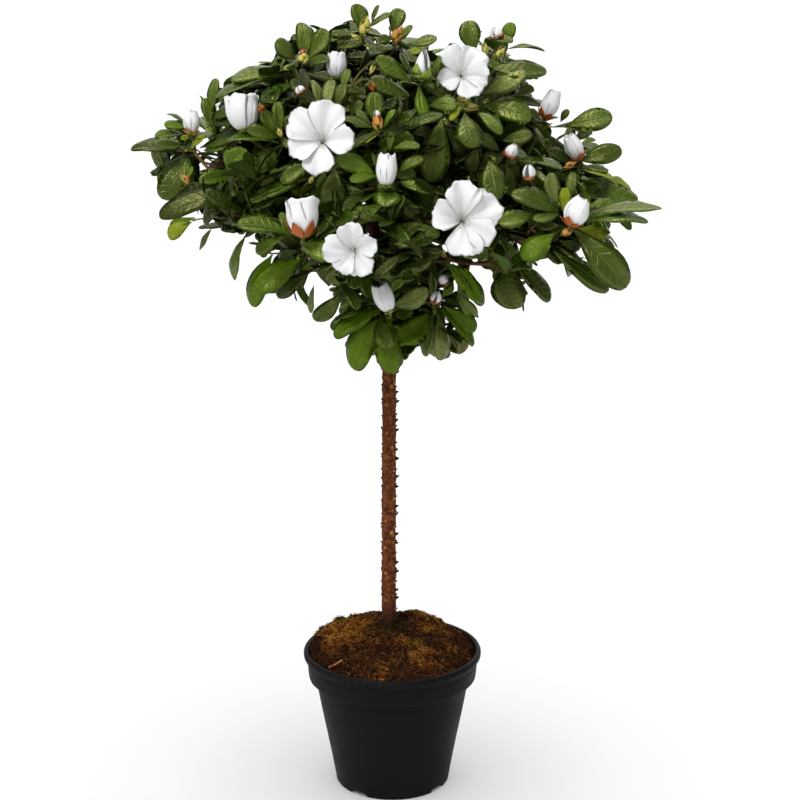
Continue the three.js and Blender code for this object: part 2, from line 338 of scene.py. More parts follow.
def mottling_group():
    tree, start = group_tree(
        "mottling",
        "ShaderNodeTree",
        [
            ("Place", "Vector"),
            ("Dark", "Color"),
            ("Light", "Color"),
            ("Patches per metre", "Float"),
            ("Grains per metre", "Float"),
            ("Edge", "Float"),
        ],
        [("Colour", "Color"), ("Height", "Float"), ("Patch", "Float")],
    )
    patch = noise_at(tree, start["Place"], start["Patches per metre"], 4.0)
    grain = noise_at(tree, start["Place"], start["Grains per metre"], 3.0)
    low, high = sums(tree, "SUBTRACT", 0.5, start["Edge"]), sums(tree, "ADD", 0.5, start["Edge"])
    both = sums(tree, "MULTIPLY_ADD", sums(tree, "SUBTRACT", grain, 0.5), 0.45, patch)
    share = ramp(tree, both, low, high)
    height = sums(tree, "MULTIPLY_ADD", grain, 0.6, sums(tree, "MULTIPLY", patch, 0.4))
    close_group(tree, Colour=blend(tree, share, start["Dark"], start["Light"]), Height=height, Patch=share)
    return tree


MOTTLING = mottling_group()


def mottled(tree, dark, light, patches, grains, edge=0.12):
    inputs = {"Place": object_place(tree), "Dark": dark, "Light": light, "Edge": edge}
    inputs.update({"Patches per metre": patches, "Grains per metre": grains})
    return add(tree, "ShaderNodeGroup", inputs, node_tree=MOTTLING).outputs


def mottled_material(name, dark, light, patches, grains, relief, roughness=0.9, specular=0.3, edge=0.12):
    made, tree, shader = finish_material(name, roughness, specular)
    out = mottled(tree, colour(*dark), colour(*light), patches, grains, edge)
    tree.links.new(out["Colour"], shader.inputs["Base Color"])
    bumped(tree, shader, out["Height"], 0.7, relief)
    return made


print("mottling group has", len(MOTTLING.nodes), "nodes")

# %% [markdown]
# ## Floor
# Plain and pale, wide enough to reach past the top of the view.

# %% Floor
turn = np.arange(64) * 2 * math.pi / 64
ring = np.stack([14 * np.cos(turn), 14 * np.sin(turn), 0 * turn], 1)
floor_paint, tree, shader = finish_material("pale floor", 0.9, 0.1)
shader.inputs["Base Color"].default_value = colour(0.95, 0.95, 0.95)
floor = mesh_piece("floor", ring, [list(range(64))], [floor_paint])
print("floor of", len(ring), "corners")

# %% [markdown]
# ## Camera and light
# The camera stands about 1.6 m in front of the shrub, a little above it, and looks down by 15
# degrees through a long lens, which keeps the pot's sides nearly upright. The floor fills
# the view, so there is no horizon. A white world and a very wide sun overhead give even light.
# A smaller sun and a panel at the upper left and a softer light overhead draw the gloss on the
# leaves, a broad light from behind gives them bright rims, and a weak fill opens the shade in
# front. All but the wide ceiling leave the floor out by light linking, and the floor has a wash
# of its own, so it stays plain and pale round the plant and keeps only a faint shadow.

# %% Camera and light
camera = bpy.data.objects.new("camera", bpy.data.cameras.new("camera"))
camera.data.lens, camera.data.sensor_width = 90.9, 36
camera.data.clip_start, camera.data.clip_end = 0.05, 60
camera.location = (0.0065, -1.6, 0.774)
camera.rotation_euler = (math.radians(74.7), 0, 0)
scene.collection.objects.link(camera)
scene.camera = camera
scene.view_settings.view_transform = "Standard"


def lamp(name, kind, energy, spot, towards, on_floor=None, **settings):
    """A light. on_floor False leaves the floor out, True lights the floor alone."""
    data = bpy.data.lights.new(name, kind)
    data.energy = energy
    for key, value in settings.items():
        setattr(data, key, value)
    holder = bpy.data.objects.new(name, data)
    holder.location = spot
    holder.rotation_euler = (Vector(towards) - Vector(spot)).to_track_quat("-Z", "Y").to_euler()
    scene.collection.objects.link(holder)
    if on_floor is not None:
        linked = bpy.data.collections.new("for " + name)
        linked.objects.link(floor)
        linked.collection_objects[0].light_linking.link_state = "INCLUDE" if on_floor else "EXCLUDE"
        holder.light_linking.receiver_collection = linked


lamp("sun", "SUN", 1.35, (-0.9, -1.5, 2.4), (0, 0, 0.3), False, angle=math.radians(15))
lamp("panel", "AREA", 6.6, (-0.95, -1.2, 1.75), (0, 0, 0.5), False, shape="RECTANGLE", size=0.6, size_y=0.4)
lamp("overhead", "SUN", 1.5, (-0.4, -0.35, 2.5), (0, 0, 0.3), False, angle=math.radians(30))
lamp("ceiling", "SUN", 0.45, (-0.3, -0.5, 3.0), (0, 0, 0), angle=math.radians(125))
lamp("rear sky", "SUN", 1.2, (0.4, 1.9, 1.75), (0, 0, 0.4), False, angle=math.radians(70))
lamp("front fill", "SUN", 0.32, (0.1, -2.0, 0.75), (0, 0, 0.4), False, angle=math.radians(60))
lamp("floor wash", "SUN", 2.58, (0, 0, 3.0), (0, 0, 0), True, angle=math.radians(150))
world = bpy.data.worlds.new("white room")
scene.world = world
world.use_nodes = True
world.node_tree.nodes["Background"].inputs["Color"].default_value = (1, 1, 1, 1)
seen_direct = add(world.node_tree, "ShaderNodeLightPath").outputs["Is Camera Ray"]
room = sums(world.node_tree, "MULTIPLY_ADD", seen_direct, 0.78, 0.22)
world.node_tree.links.new(room, world.node_tree.nodes["Background"].inputs["Strength"])
print("camera at", tuple(round(v, 3) for v in camera.location))

# %% [markdown]
# ## Pot
# The pot is a thin moulded tub: a rolled lip, a plain band with one moulding line, a step, a
# tapering body, and four drain notches in the foot. A turned form could come from the Screw
# modifier, but a ring of points is as short and lets the notches be pressed up into the foot.
# Points stand in pairs at each edge, which rounds it as a mould does. The plastic is matt and
# nearly black, with faint scuffs and a little dust from the peat near the lip.

# %% Pot
SIDES = 192
NOTCHES, NOTCH_HALF_WIDTH, NOTCH_HEIGHT = 4, 7.6, 3.3
FOOT_RADIUS, POT_HEIGHT = 48, 0.118  # the foot in millimetres, the height in metres
POT_PROFILE = [
    (0, 1.6), (40, 1.6), (43.5, 1.2), (44.4, 0.2), (45.2, 0), (46.6, 0), (47.7, 0.3), (48.35, 1.3),
    (48.7, 4), (51.5, 20), (56, 44), (60.5, 67), (64.2, 88), (64.9, 91.6), (65.4, 93.1),
    (66.2, 93.9), (67.4, 94.0), (69.2, 94.0), (70.2, 94.15), (70.75, 94.7), (70.9, 95.6),
    (71.3, 99), (71.95, 106.6), (72.05, 107.4), (71.75, 107.8), (71.8, 108.2), (72.3, 108.6),
    (72.4, 109.2), (72.6, 111.2), (72.9, 111.8), (73.6, 112.1), (74.4, 112.4), (74.9, 113.2),
    (75.1, 114.6), (75.05, 116.2), (74.6, 117.4), (73.6, 118.1), (72.2, 118.2), (71, 117.8),
    (70.4, 116.8), (70.1, 115), (69.6, 104), (69.2, 97.5), (68.2, 96.2), (66, 95.8), (64.4, 95.2),
    (63.8, 93.6), (59.2, 67), (47.2, 4.4), (45.8, 3.2), (43, 3), (0, 3),
]
profile = np.array(POT_PROFILE[1:-1]) * MM
turn = np.arange(SIDES) * 2 * math.pi / SIDES
points = np.zeros((len(profile), SIDES, 3))
points[..., 0] = profile[:, :1] * np.cos(turn)
points[..., 1] = profile[:, :1] * np.sin(turn)
points[..., 2] = profile[:, 1:]
near_foot = (profile[:, :1] > 39.5 * MM) & (profile[:, 1:] < 3.2 * MM) & (profile[:, :1] < 49 * MM)
for notch in range(NOTCHES):
    middle = math.radians(53 + 360 / NOTCHES * notch)
    off = np.abs((turn - middle + math.pi) % (2 * math.pi) - math.pi) * FOOT_RADIUS
    inside = (off < NOTCH_HALF_WIDTH)[None] & near_foot
    inside[len(profile) // 2 :] = False
    arch = 1 - 0.25 * np.broadcast_to((off / NOTCH_HALF_WIDTH) ** 6, inside.shape)[inside]
    points[..., 2][inside] = NOTCH_HEIGHT * MM * arch
# A moulded tub is never quite round: the lip gives by a few tenths.
points[..., :2] *= (1 + 0.0035 * np.sin(2 * turn + 0.6) * (points[..., 2] / POT_HEIGHT) ** 2)[..., None]
faces = tube_faces(len(profile), SIDES)
middle = [[0, 0, POT_PROFILE[0][1] * MM], [0, 0, POT_PROFILE[-1][1] * MM]]
pot_plastic, tree, shader = finish_material("black_pot_plastic", 0.5, 0.07)
out = mottled(tree, colour(0.0046, 0.0046, 0.0048), colour(0.0066, 0.0066, 0.0067), 26, 1500, 0.2)
place = object_place(tree)
height_here = add(tree, "ShaderNodeSeparateXYZ", {"Vector": place}).outputs["Z"]
near_lip = ramp(tree, height_here, 0.095, 0.12)
dust_noise = noise_at(tree, place, 420.0, 5.0)
dust = sums(tree, "MULTIPLY", ramp(tree, dust_noise, 0.62, 0.74), sums(tree, "MULTIPLY", near_lip, 0.35))
tree.links.new(blend(tree, dust, out["Colour"], colour(0.09, 0.055, 0.03)), shader.inputs["Base Color"])
tree.links.new(sums(tree, "MULTIPLY_ADD", out["Patch"], 0.12, 0.48), shader.inputs["Roughness"])
bumped(tree, shader, out["Height"], 0.25, 0.0002)
pot = mesh_piece("nursery_pot", np.concatenate([points.reshape(-1, 3), np.array(middle)]), faces, [pot_plastic])
keep(pot, "pot_plastic", "pot")

# %% [markdown]
# ## Peat
# The pot is filled with fibrous peat and bark, mounded round the trunk, higher at the back left,
# with patches of moss. The body is one closed form whose top follows the packed soil, roughened
# in clods. The loose crumbs, fibres and moss are scattered over it by Geometry Nodes, which keep
# them on the surface whatever its shape is.

# %% Peat body


RIM_RADIUS = 70


def soil_level(x, y):
    """Height of the peat in millimetres: a mound, higher at the back left, with a hollow at the left."""
    share = np.hypot(x, y) / RIM_RADIUS
    bearing = np.arctan2(y, x)
    edge = -1.5 + 5.5 * np.cos(bearing - math.radians(142))
    humps = np.sin(x / 9 + 1) * np.sin(y / 11) + 0.5 * np.sin(x / 5 - y / 7)
    level = 15.5 + (edge - 15.5) * share**3
    hollow = -10 * np.exp(-(((x + 61) / 11) ** 2) - ((y + 29) / 20) ** 2)
    hump = 6.5 * np.exp(-(((x - 22) / 14) ** 2) - ((y - 38) / 12) ** 2)
    return 118 + level + 1.6 * humps * (1 - np.minimum(share, 1) ** 4) + hollow + hump


RINGS, SPOKES = 62, 200
radii = 69.3 * (np.arange(1, RINGS + 1) / RINGS) ** 0.9
turn = np.arange(SPOKES) * 2 * math.pi / SPOKES
x, y = radii[::-1, None] * np.cos(turn), radii[::-1, None] * np.sin(turn)
z = soil_level(x, y)
flat = np.stack([x, y, z], -1).reshape(-1, 3)
clods = rough(flat, 11.0, 5) * 3.6 + np.abs(rough(flat + 40, 3.4, 3)) * 2.6
top = flat.reshape(RINGS, SPOKES, 3)
top[..., 2] += clods.reshape(RINGS, SPOKES) * np.clip((70.5 - radii[::-1, None]) / 3, 0.25, 1)
skirt = []
for radius, level in ((45.8, 4.2), (62.6, 93.5), (68.0, 97.8)):
    skirt.append(np.stack([radius * np.cos(turn), radius * np.sin(turn), np.full(SPOKES, level)], -1))
points = np.concatenate([np.array(skirt), top]).reshape(-1, 3)
centre_height = float(soil_level(np.array(0.01), np.array(0.0)))
points = np.concatenate([points, [[0, 0, 4.2], [0, 0, centre_height]]]) * MM
faces = tube_faces(RINGS + 3, SPOKES)
peat, tree, shader = finish_material("fibrous_peat", 0.95, 0.1)
out = mottled(tree, colour(0.005, 0.0022, 0.0010), colour(0.068, 0.021, 0.005), 55, 700, 0.22)
place = object_place(tree)
moss_noise = noise_at(tree, place, 34.0, 5.0)
ochre_noise = noise_at(tree, place, 48.0, 4.0, 0.6)
warm = blend(tree, ramp(tree, ochre_noise, 0.56, 0.68), out["Colour"], colour(0.17, 0.065, 0.014))
green = blend(tree, ramp(tree, moss_noise, 0.58, 0.66), warm, colour(0.070, 0.046, 0.006))
tree.links.new(green, shader.inputs["Base Color"])
bumped(tree, shader, out["Height"], 0.9, 0.0012)
soil_body = mesh_piece("peat", points, faces, [peat])
keep(soil_body, "soil", "soil")

# %% Crumbs, fibres and moss are scattered


def scatter_tree():
    """Instances of one small shape over a surface, turned and sized at random."""
    tree, start = group_tree(
        "scatter",
        "GeometryNodeTree",
        [
            ("Surface", "Geometry"),
            ("Shape", "Object"),
            ("Per square metre", "Float"),
            ("Smallest", "Float"),
            ("Largest", "Float"),
            ("Tilt", "Float"),
            ("Sink", "Float"),
            ("Seed", "Int"),
            ("Finish", "Material"),
        ],
        [("Scattered", "Geometry")],
    )
    weight = add(tree, "GeometryNodeInputNamedAttribute", {"Name": "cover"}, data_type="FLOAT").outputs[0]
    density = sums(tree, "MULTIPLY", start["Per square metre"], weight)
    seed, tilt = start["Seed"], start["Tilt"]
    inputs = {"Mesh": start["Surface"], "Density": density, "Seed": seed}
    spots = add(tree, "GeometryNodeDistributePointsOnFaces", inputs)
    low = sums(tree, "MULTIPLY", tilt, -1.0)
    least = add(tree, "ShaderNodeCombineXYZ", {"X": low, "Y": low, "Z": -3.1416}).outputs[0]
    most = add(tree, "ShaderNodeCombineXYZ", {"X": tilt, "Y": tilt, "Z": 3.1416}).outputs[0]
    inputs = {0: least, 1: most, "Seed": seed}
    turn_by = add(tree, "FunctionNodeRandomValue", inputs, data_type="FLOAT_VECTOR").outputs[0]
    inputs = {2: start["Smallest"], 3: start["Largest"], "Seed": seed}
    size = add(tree, "FunctionNodeRandomValue", inputs, data_type="FLOAT").outputs[1]
    shape = add(tree, "GeometryNodeObjectInfo", {"Object": start["Shape"]}).outputs["Geometry"]
    down = add(tree, "ShaderNodeCombineXYZ", {"Z": start["Sink"]}).outputs[0]
    seated = add(tree, "GeometryNodeSetPosition", {"Geometry": spots.outputs["Points"], "Offset": down}).outputs[0]
    inputs = {"Points": seated, "Instance": shape, "Rotation": spots.outputs["Rotation"], "Scale": size}
    placed = add(tree, "GeometryNodeInstanceOnPoints", inputs).outputs[0]
    turned = add(tree, "GeometryNodeRotateInstances", {"Instances": placed, "Rotation": turn_by}).outputs[0]
    whole = add(tree, "GeometryNodeRealizeInstances", {"Geometry": turned}).outputs[0]
    done = add(tree, "GeometryNodeSetMaterial", {"Geometry": whole, "Material": start["Finish"]}).outputs[0]
    close_group(tree, Scattered=done)
    return tree


SCATTER = scatter_tree()
print("scatter tree has", len(SCATTER.nodes), "nodes")

# %% Small shapes and the surface they lie on
top_faces = tube_faces(RINGS, SPOKES)[: (RINGS - 1) * SPOKES]


def surface(name, cover):
    """A copy of the peat's top that says how thickly each place is covered."""
    base = mesh_piece(name, top.reshape(-1, 3) * MM, top_faces, [])
    layer = base.data.attributes.new("cover", "FLOAT", "POINT")
    layer.data.foreach_set("value", np.asarray(cover, np.float32).ravel())
    return base


def small_shape(name, points, faces):
    shape = mesh_piece(name, np.array(points) * MM, faces, [])
    scene.collection.objects.unlink(shape)
    return shape


def fibre(name, length, width, bend):
    """A three-sided strand that lies along x and curls."""
    rows = []
    for i in range(5):
        t = i / 4
        half = width * (1 - 0.6 * abs(2 * t - 1))
        x, y, z = length * (t - 0.5), bend * math.sin(3 * t), 0.25 * length * math.sin(math.pi * t) ** 2 * 0.6
        rows.append([(x, y + half * math.cos(a), z + half * math.sin(a)) for a in (1.57, 3.67, 5.76)])
    points = [p for row in rows for p in row] + [(-length / 2, 0, 0), (length / 2, bend * math.sin(3.0), 0)]
    return small_shape(name, points, tube_faces(5, 3))


bead = bpy.data.meshes.new("bead")
shape = bmesh.new()
bmesh.ops.create_icosphere(shape, subdivisions=1, radius=0.0011)
for corner in shape.verts:
    corner.co *= 0.75 + 0.5 * rng.random()
    corner.co.z *= 0.6
shape.to_mesh(bead)
shape.free()
crumb = bpy.data.objects.new("crumb", bead)
print("a crumb has", len(bead.polygons), "faces")

# %% Where each layer lies
flat_points = top.reshape(-1, 3)
from_middle = np.hypot(flat_points[:, 0], flat_points[:, 1])
bearing = np.degrees(np.arctan2(flat_points[:, 1], flat_points[:, 0])) % 360
sunken_edge = (from_middle > 61) & (bearing > 178) & (bearing < 234)  # bare dark peat, shrunk from the wall
wide = 1.0 * (from_middle < 68.6)
loose = wide * ~sunken_edge
near_trunk = np.hypot(flat_points[:, 0] + 3, flat_points[:, 1] - 12)


def patches(places):
    """Soft round patches (x, y, size) on the peat, as a share at each of its points."""
    gap = [((flat_points[:, 0] - a) ** 2 + (flat_points[:, 1] - b) ** 2) / size**2 for a, b, size in places]
    return np.minimum(sum(np.exp(-(g**2)) for g in gap), 1) * loose


MOSS = [
    (-59, 16, 7), (-32, -8, 8), (17, -26, 8), (32, 6, 6), (28, 36, 8), (4, 50, 10), (-28, 32, 8),
    (-46, 36, 9), (44, 30, 6),
]
GOLDEN = [
    (-44, -2, 17), (26, -40, 12), (-30, 24, 15), (-56, 14, 10), (-30, -16, 12), (34, 10, 12),
    (30, 40, 12), (-8, -62, 7), (48, -14, 8), (8, -20, 8),
]
# patches round the trunk foot where the moss is painted dark, as painted shade under the crown
SHADED = [(-6, -2, 10), (6, 2, 8), (-14, 8, 7), (2, 18, 9)]
mossy, golden, shaded = patches(MOSS), patches(GOLDEN), patches(SHADED)
print("share of moss:", round(float(mossy.mean()), 3), "and of golden fibre:", round(float(golden.mean()), 3))

# %% The scattered layers
CRUMB_COVER = wide * (0.4 + 0.6 * sunken_edge)
# Name, shape, cover, number per square metre, smallest and largest size and tilt. Then the finish:
# name, dark and light colour, patches and grains per metre, relief, roughness and specular.
SCATTERED = [
    ("peat_crumb_layer", crumb, CRUMB_COVER, 575000, 0.4, 1.7, 0.5,
     "peat_crumbs_dark", (0.004, 0.0018, 0.0008), (0.036, 0.012, 0.0028), 300, 1500, 0.0004, 0.95, 0.1),
    ("bark_crumb_layer", crumb, loose * (near_trunk > 12), 90000, 0.25, 1.0, 0.5,
     "peat_crumbs_warm", (0.050, 0.015, 0.003), (0.24, 0.080, 0.016), 260, 1500, 0.0004, 0.95, 0.05),
    ("fibre_layer", fibre("fibre", 5.5, 0.10, 1.3), loose * (near_trunk > 10), 130000, 0.4, 1.3, 0.5,
     "peat_fibres", (0.11, 0.034, 0.007), (0.50, 0.22, 0.065), 160, 1500, 0.0002, 0.8, 0.05),
    ("golden_fibre_layer", fibre("fibre_gold", 4.6, 0.15, 1.2), golden, 900000, 0.4, 1.2, 0.9,
     "golden_fibres", (0.26, 0.074, 0.008), (0.74, 0.305, 0.044), 160, 1500, 0.0002, 0.8, 0.05),
    ("dark_fibre_layer", fibre("fibre_dark", 7, 0.16, -1.5), wide, 130000, 0.4, 1.3, 0.5,
     "peat_fibres_dark", (0.010, 0.0036, 0.0014), (0.085, 0.026, 0.006), 120, 1500, 0.0002, 0.9, 0.05),
    ("moss_layer", fibre("moss_shoot", 3.4, 0.24, 0.7), mossy, 1100000, 0.4, 1.4, 1.35,
     "moss", (0.036, 0.026, 0.003), (0.21, 0.142, 0.014), 190, 1200, 0.0003, 0.9, 0.05),
    # the moss round the trunk is near black: painted shade under the crown
    ("shaded_moss_layer", fibre("moss_low", 3.4, 0.24, 0.7), shaded, 1500000, 0.4, 1.3, 1.35,
     "moss_by_the_trunk", (0.009, 0.008, 0.002), (0.042, 0.034, 0.006), 190, 1200, 0.0003, 0.9, 0.1),
]
for seed, (label, one, cover, amount, small, large, tilt, *finish) in enumerate(SCATTERED, 3):
    values = {"Shape": one, "Per square metre": float(amount), "Smallest": small, "Largest": large}
    values.update({"Tilt": tilt, "Seed": seed, "Sink": -0.0001, "Finish": mottled_material(*finish)})
    keep(grow(label, surface("base", cover), SCATTER, **values), "soil")

# %% A fallen twig and a thread on the peat
lying = [
    ([(-52, -52, 121), (-47, -48, 121.6), (-42, -43, 122.8), (-37, -38, 123)], [0.7, 0.95, 0.9, 0.5], 1.0),
    ([(-2, -62, 117.5), (1, -63.5, 118.3), (4, -62, 118), (7, -60.5, 118.4), (8, -57, 119.5)], [0.25] * 5, 0.0),
]


def smooth_path(points, steps=6):
    points = np.asarray(points, float)
    t = np.arange(len(points))
    fine = np.linspace(0, len(points) - 1, (len(points) - 1) * steps + 1)
    ends = np.gradient(points, axis=0)
    i = np.minimum(fine.astype(int), len(points) - 2)
    f = (fine - i)[:, None]
    a, b, da, db = points[i], points[i + 1], ends[i], ends[i + 1]
    return (2 * f**3 - 3 * f**2 + 1) * a + (f**3 - 2 * f**2 + f) * da + (-2 * f**3 + 3 * f**2) * b + (f**3 - f**2) * db


FINISHES = {
    "fallen_twig": ((0.20, 0.05, 0.012), (0.48, 0.20, 0.07), 200, 900, 0.0003, 0.7, 0.15),
    "pale_thread": ((0.5, 0.48, 0.42), (0.8, 0.78, 0.72), 200, 900, 0.0001, 0.7),
}
for (label, finish), (path, thick, age) in zip(FINISHES.items(), lying):
    paint = mottled_material(label, *finish)
    line = smooth_path(path) * MM
    line[:, 2] += 1.2 * MM
    sizes = np.interp(np.linspace(0, 1, len(line)), np.linspace(0, 1, len(thick)), thick) * MM
    base = chains("base", [line], [sizes], [np.full(len(line), age)])
    keep(grow(label, base, LIMBS, Sides=6, Finish=paint), "soil")

# %% [markdown]
# ## Trunk
# The trunk is a single straight stem with rough red-brown bark. Rows of small tan knobs and dark
# hooked stubs run up it, where the shoots of each year were rubbed off. The bark is a fine mesh
# with real relief, because its outline shows against the light. The knobs and stubs follow the
# trunk in rows, so they are placed by their height and bearing on that same surface.

# %% Bark relief
trunk_line = smooth_path([(-3, 12, 116), (-2.9, 9.7, 245), (-2.5, 7.2, 364), (-4.2, 5, 470)], 240)
heights = trunk_line[:, 2]
flare = 2.6 * np.exp(-np.maximum(heights - 131, -4) / 7) + 0.5 * np.exp(-((heights - 466) / 10) ** 2)
trunk_radius = 6.15 + (heights - 127) / 341 * -0.5 + flare
ROUND = 60
grid, out_way = sweep(trunk_line, trunk_radius, ROUND)
flat, outward = grid.reshape(-1, 3), out_way.reshape(-1, 3)
stretched = flat * (1, 1, 0.45)
relief = 0.34 * rough(stretched, 3.6, 4) + 0.26 * rough(flat + 31, 1.7, 3)
relief = relief + 0.34 * np.abs(rough(stretched + 77, 5.5, 3))
ridges = 0.16 * np.sin(flat[:, 2] * 0.5 + 2 * rough(flat, 9.0, 2))
flat = flat + outward * (relief + ridges - 0.2)[:, None]
points = np.concatenate([flat, [trunk_line[0], trunk_line[-1]]]) * MM
bark, tree, shader = finish_material("red_brown_bark", 0.82, 0.15)
out = mottled(tree, colour(0.046, 0.0125, 0.0045), colour(0.182, 0.050, 0.014), 330, 1600, 0.2)
place = object_place(tree)
tan_noise = noise_at(tree, place, 330.0, 4.0)
tan = blend(tree, ramp(tree, tan_noise, 0.62, 0.72), out["Colour"], colour(0.26, 0.095, 0.030))
# The bark turns darker towards its foot, by the peat.
foot_dark = ramp(tree, add(tree, "ShaderNodeSeparateXYZ", {"Vector": place}).outputs["Z"], 0.164, 0.134)
bark_darker_at_foot = blend(tree, sums(tree, "MULTIPLY", foot_dark, 0.90), tan, colour(0.012, 0.007, 0.003))
tree.links.new(bark_darker_at_foot, shader.inputs["Base Color"])
bumped(tree, shader, out["Height"], 0.8, 0.0006)
trunk = mesh_piece("trunk_bark", points, tube_faces(len(trunk_line), ROUND), [bark])
keep(trunk, "bark", "trunk")

# %% Knobs and stubs on the bark


def on_trunk(height, bearing):
    """A place on the bark and its outward direction, in millimetres."""
    i = np.argmin(np.abs(heights - height))
    way = np.array([math.cos(math.radians(bearing)), math.sin(math.radians(bearing)), 0.0])
    return trunk_line[i] + way * (trunk_radius[i] - 0.15), way


CONE_RINGS, CONE_SIDES = 5, 6
SIXTH_TURN = 1.0472


def cone(spot, way, up, length, width, hook):
    """A short stub: rings that shrink along a bent line, ending in a point."""
    side, tall = np.cross(way, (0, 0, 1.0)), np.array([0, 0, 1.25])
    points = []
    for k in range(CONE_RINGS):
        t = k / (CONE_RINGS - 1)
        centre = spot + way * length * t + np.array([0, 0, up * length * t + hook * t * t])
        half = width * (1 - t) ** 0.6 + 0.04
        for a in np.arange(CONE_SIDES) * SIXTH_TURN:
            points.append(centre + half * (side * math.cos(a) + tall * math.sin(a)))
    return np.array(points + [spot - way * 0.3, centre + way * 0.05])


knob_tan = mottled_material("knob_tan", (0.17, 0.060, 0.014), (0.44, 0.20, 0.045), 500, 1800, 0.0003, 0.75, 0.15)
stub_dark = mottled_material("stub_dark", (0.008, 0.004, 0.003), (0.030, 0.012, 0.007), 500, 1800, 0.0003, 0.8, 0.15)
# bearing, lowest height and step of each row, then the size of what stands in it
KNOB_ROWS = [
    (-115, 157.5, 24.8, 1.3, 0.8), (-60, 218.7, 75.2, 1.9, 1.1), (-60, 218.5, 127, 1.9, 1.1),
    (-38, 150, 24.8, 1.3, 0.9), (-50, 164, 24.8, 0.9, 0.7), (150, 146, 24.6, 1.2, 0.8),
    (72, 140, 24.6, 1.2, 0.8), (20, 150, 37, 1.2, 0.8),
]
STUB_ROWS = [
    (-4, 134.3, 24.8, 3.1), (-6, 142.8, 24.8, 2.9), (0, 137, 12.4, 1.4), (-174, 136, 12.4, 1.3),
    (168, 141, 21, 1.3), (60, 139, 24.8, 2.6), (66, 147, 24.8, 2.6), (115, 133, 16, 1.5),
]
knobs, stubs = [], []
for bearing, first, step, width, length in KNOB_ROWS:
    for height in np.arange(first, 462, step):
        spot, way = on_trunk(height + rng.normal(0, 1.4), bearing + rng.normal(0, 5))
        knobs.append(cone(spot, way, 0.0, length * rng.uniform(0.8, 1.3), width * rng.uniform(0.75, 1.2), 0.0))
for bearing, first, step, longest in STUB_ROWS:
    for height in np.arange(first, 464, step):
        spot, way = on_trunk(height + rng.normal(0, 0.9), bearing + rng.normal(0, 5))
        up, length = rng.uniform(-0.1, 0.4), longest * rng.uniform(0.75, 1.1)
        width = 0.45 + 0.25 * longest * rng.uniform(0.8, 1.2)
        stubs.append(cone(spot, way, up, length, width, longest * rng.uniform(0.1, 0.5)))
for label, parts, paint in (("bark_knobs", knobs, knob_tan), ("bark_stubs", stubs, stub_dark)):
    faces = []
    for i, part in enumerate(parts):
        faces += tube_faces(CONE_RINGS, CONE_SIDES, i * len(part))
    keep(mesh_piece(label, np.concatenate(parts) * MM, faces, [paint]), "bark", "trunk")

# %% [markdown]
# ## Boughs
# Ten boughs leave the head of the trunk and seven more fork off those, and they bend out to the
# masses of leaf. Each is a curve with a thickness at every point, and the limb tree turns the
# curves into round wood. A cut stub with a pale face stands by the fork, where an old leader was
# taken out.

# %% Boughs
BOUGHS = {
    "top": (((-5, 5, 464), (-7, 4, 519), (-12, 2, 570)), 4.6, 2.6),
    "upper_right": (((-5, 5, 459), (27, -8, 508), (56, -20, 555)), 3.6, 2.2),
    "upper_front": (((-5, 5, 454), (-2, -31, 498), (0, -62, 542)), 3.4, 2.1),
    "upper_left": (((-5, 5, 459), (-31, -5, 502), (-55, -15, 543)), 3.6, 2.2),
    "upper_back_left": (((-5, 5, 454), (-20, 33, 495), (-31, 54, 538)), 3.4, 2.1),
    "upper_back_right": (((-5, 5, 459), (21, 29, 504), (43, 50, 550)), 3.4, 2.1),
    "low_front": (((-5, 6, 442), (-3, -9, 446), (0, -24, 444)), 2.4, 1.7),
    "low_left": (((-5, 5, 448), (-18, 1, 451), (-31, -4, 454)), 2.6, 1.8),
    "low_right": (((-5, 5, 446), (26, -3, 455), (59, -12, 457)), 2.6, 1.8),
    "low_back": (((-5, 5, 444), (-4, 21, 448), (-2, 37, 450)), 2.5, 1.8),
    "skirt_right": (((9, -1, 483), (49, 1, 510), (98, 3, 518)), 2.5, 1.7),
    "skirt_front_right": (((21, -6, 501), (45, -32, 508), (70, -58, 510)), 2.3, 1.6),
    "skirt_front": (((-4, -12, 478), (-3, -47, 492), (-1, -85, 500)), 2.4, 1.6),
    "skirt_front_left": (((-27, -4, 496), (-46, -27, 503), (-65, -51, 508)), 2.3, 1.6),
    "skirt_left": (((-17, 1, 480), (-55, 4, 507), (-102, 7, 518)), 2.5, 1.7),
    "skirt_back_left": (((-15, 23, 484), (-34, 52, 497), (-54, 82, 504)), 2.4, 1.6),
    "skirt_back_right": (((10, 19, 488), (27, 49, 501), (46, 81, 506)), 2.4, 1.6),
}
limb_bark, tree, shader = finish_material("limb_bark", 0.75, 0.3)
out = mottled(tree, colour(0.030, 0.010, 0.006), colour(0.15, 0.05, 0.018), 130, 1200, 0.2)
age = add(tree, "ShaderNodeAttribute", None, attribute_name="age").outputs["Fac"]
young = mottled(tree, colour(0.050, 0.050, 0.006), colour(0.125, 0.115, 0.016), 160, 1200, 0.2)
middle_age = mottled(tree, colour(0.060, 0.030, 0.007), colour(0.180, 0.090, 0.022), 160, 1200, 0.2)
wood = blend(tree, ramp(tree, age, 0.35, 0.75), middle_age["Colour"], out["Colour"])
tree.links.new(blend(tree, ramp(tree, age, 0.05, 0.3), young["Colour"], wood), shader.inputs["Base Color"])
bumped(tree, shader, out["Height"], 0.6, 0.0005)


def arc(bend, share):
    a, b, c = (np.asarray(p, float) for p in bend)
    share = np.asarray(share, float)[..., None]
    return (1 - share) ** 2 * a + 2 * share * (1 - share) * b + share**2 * c


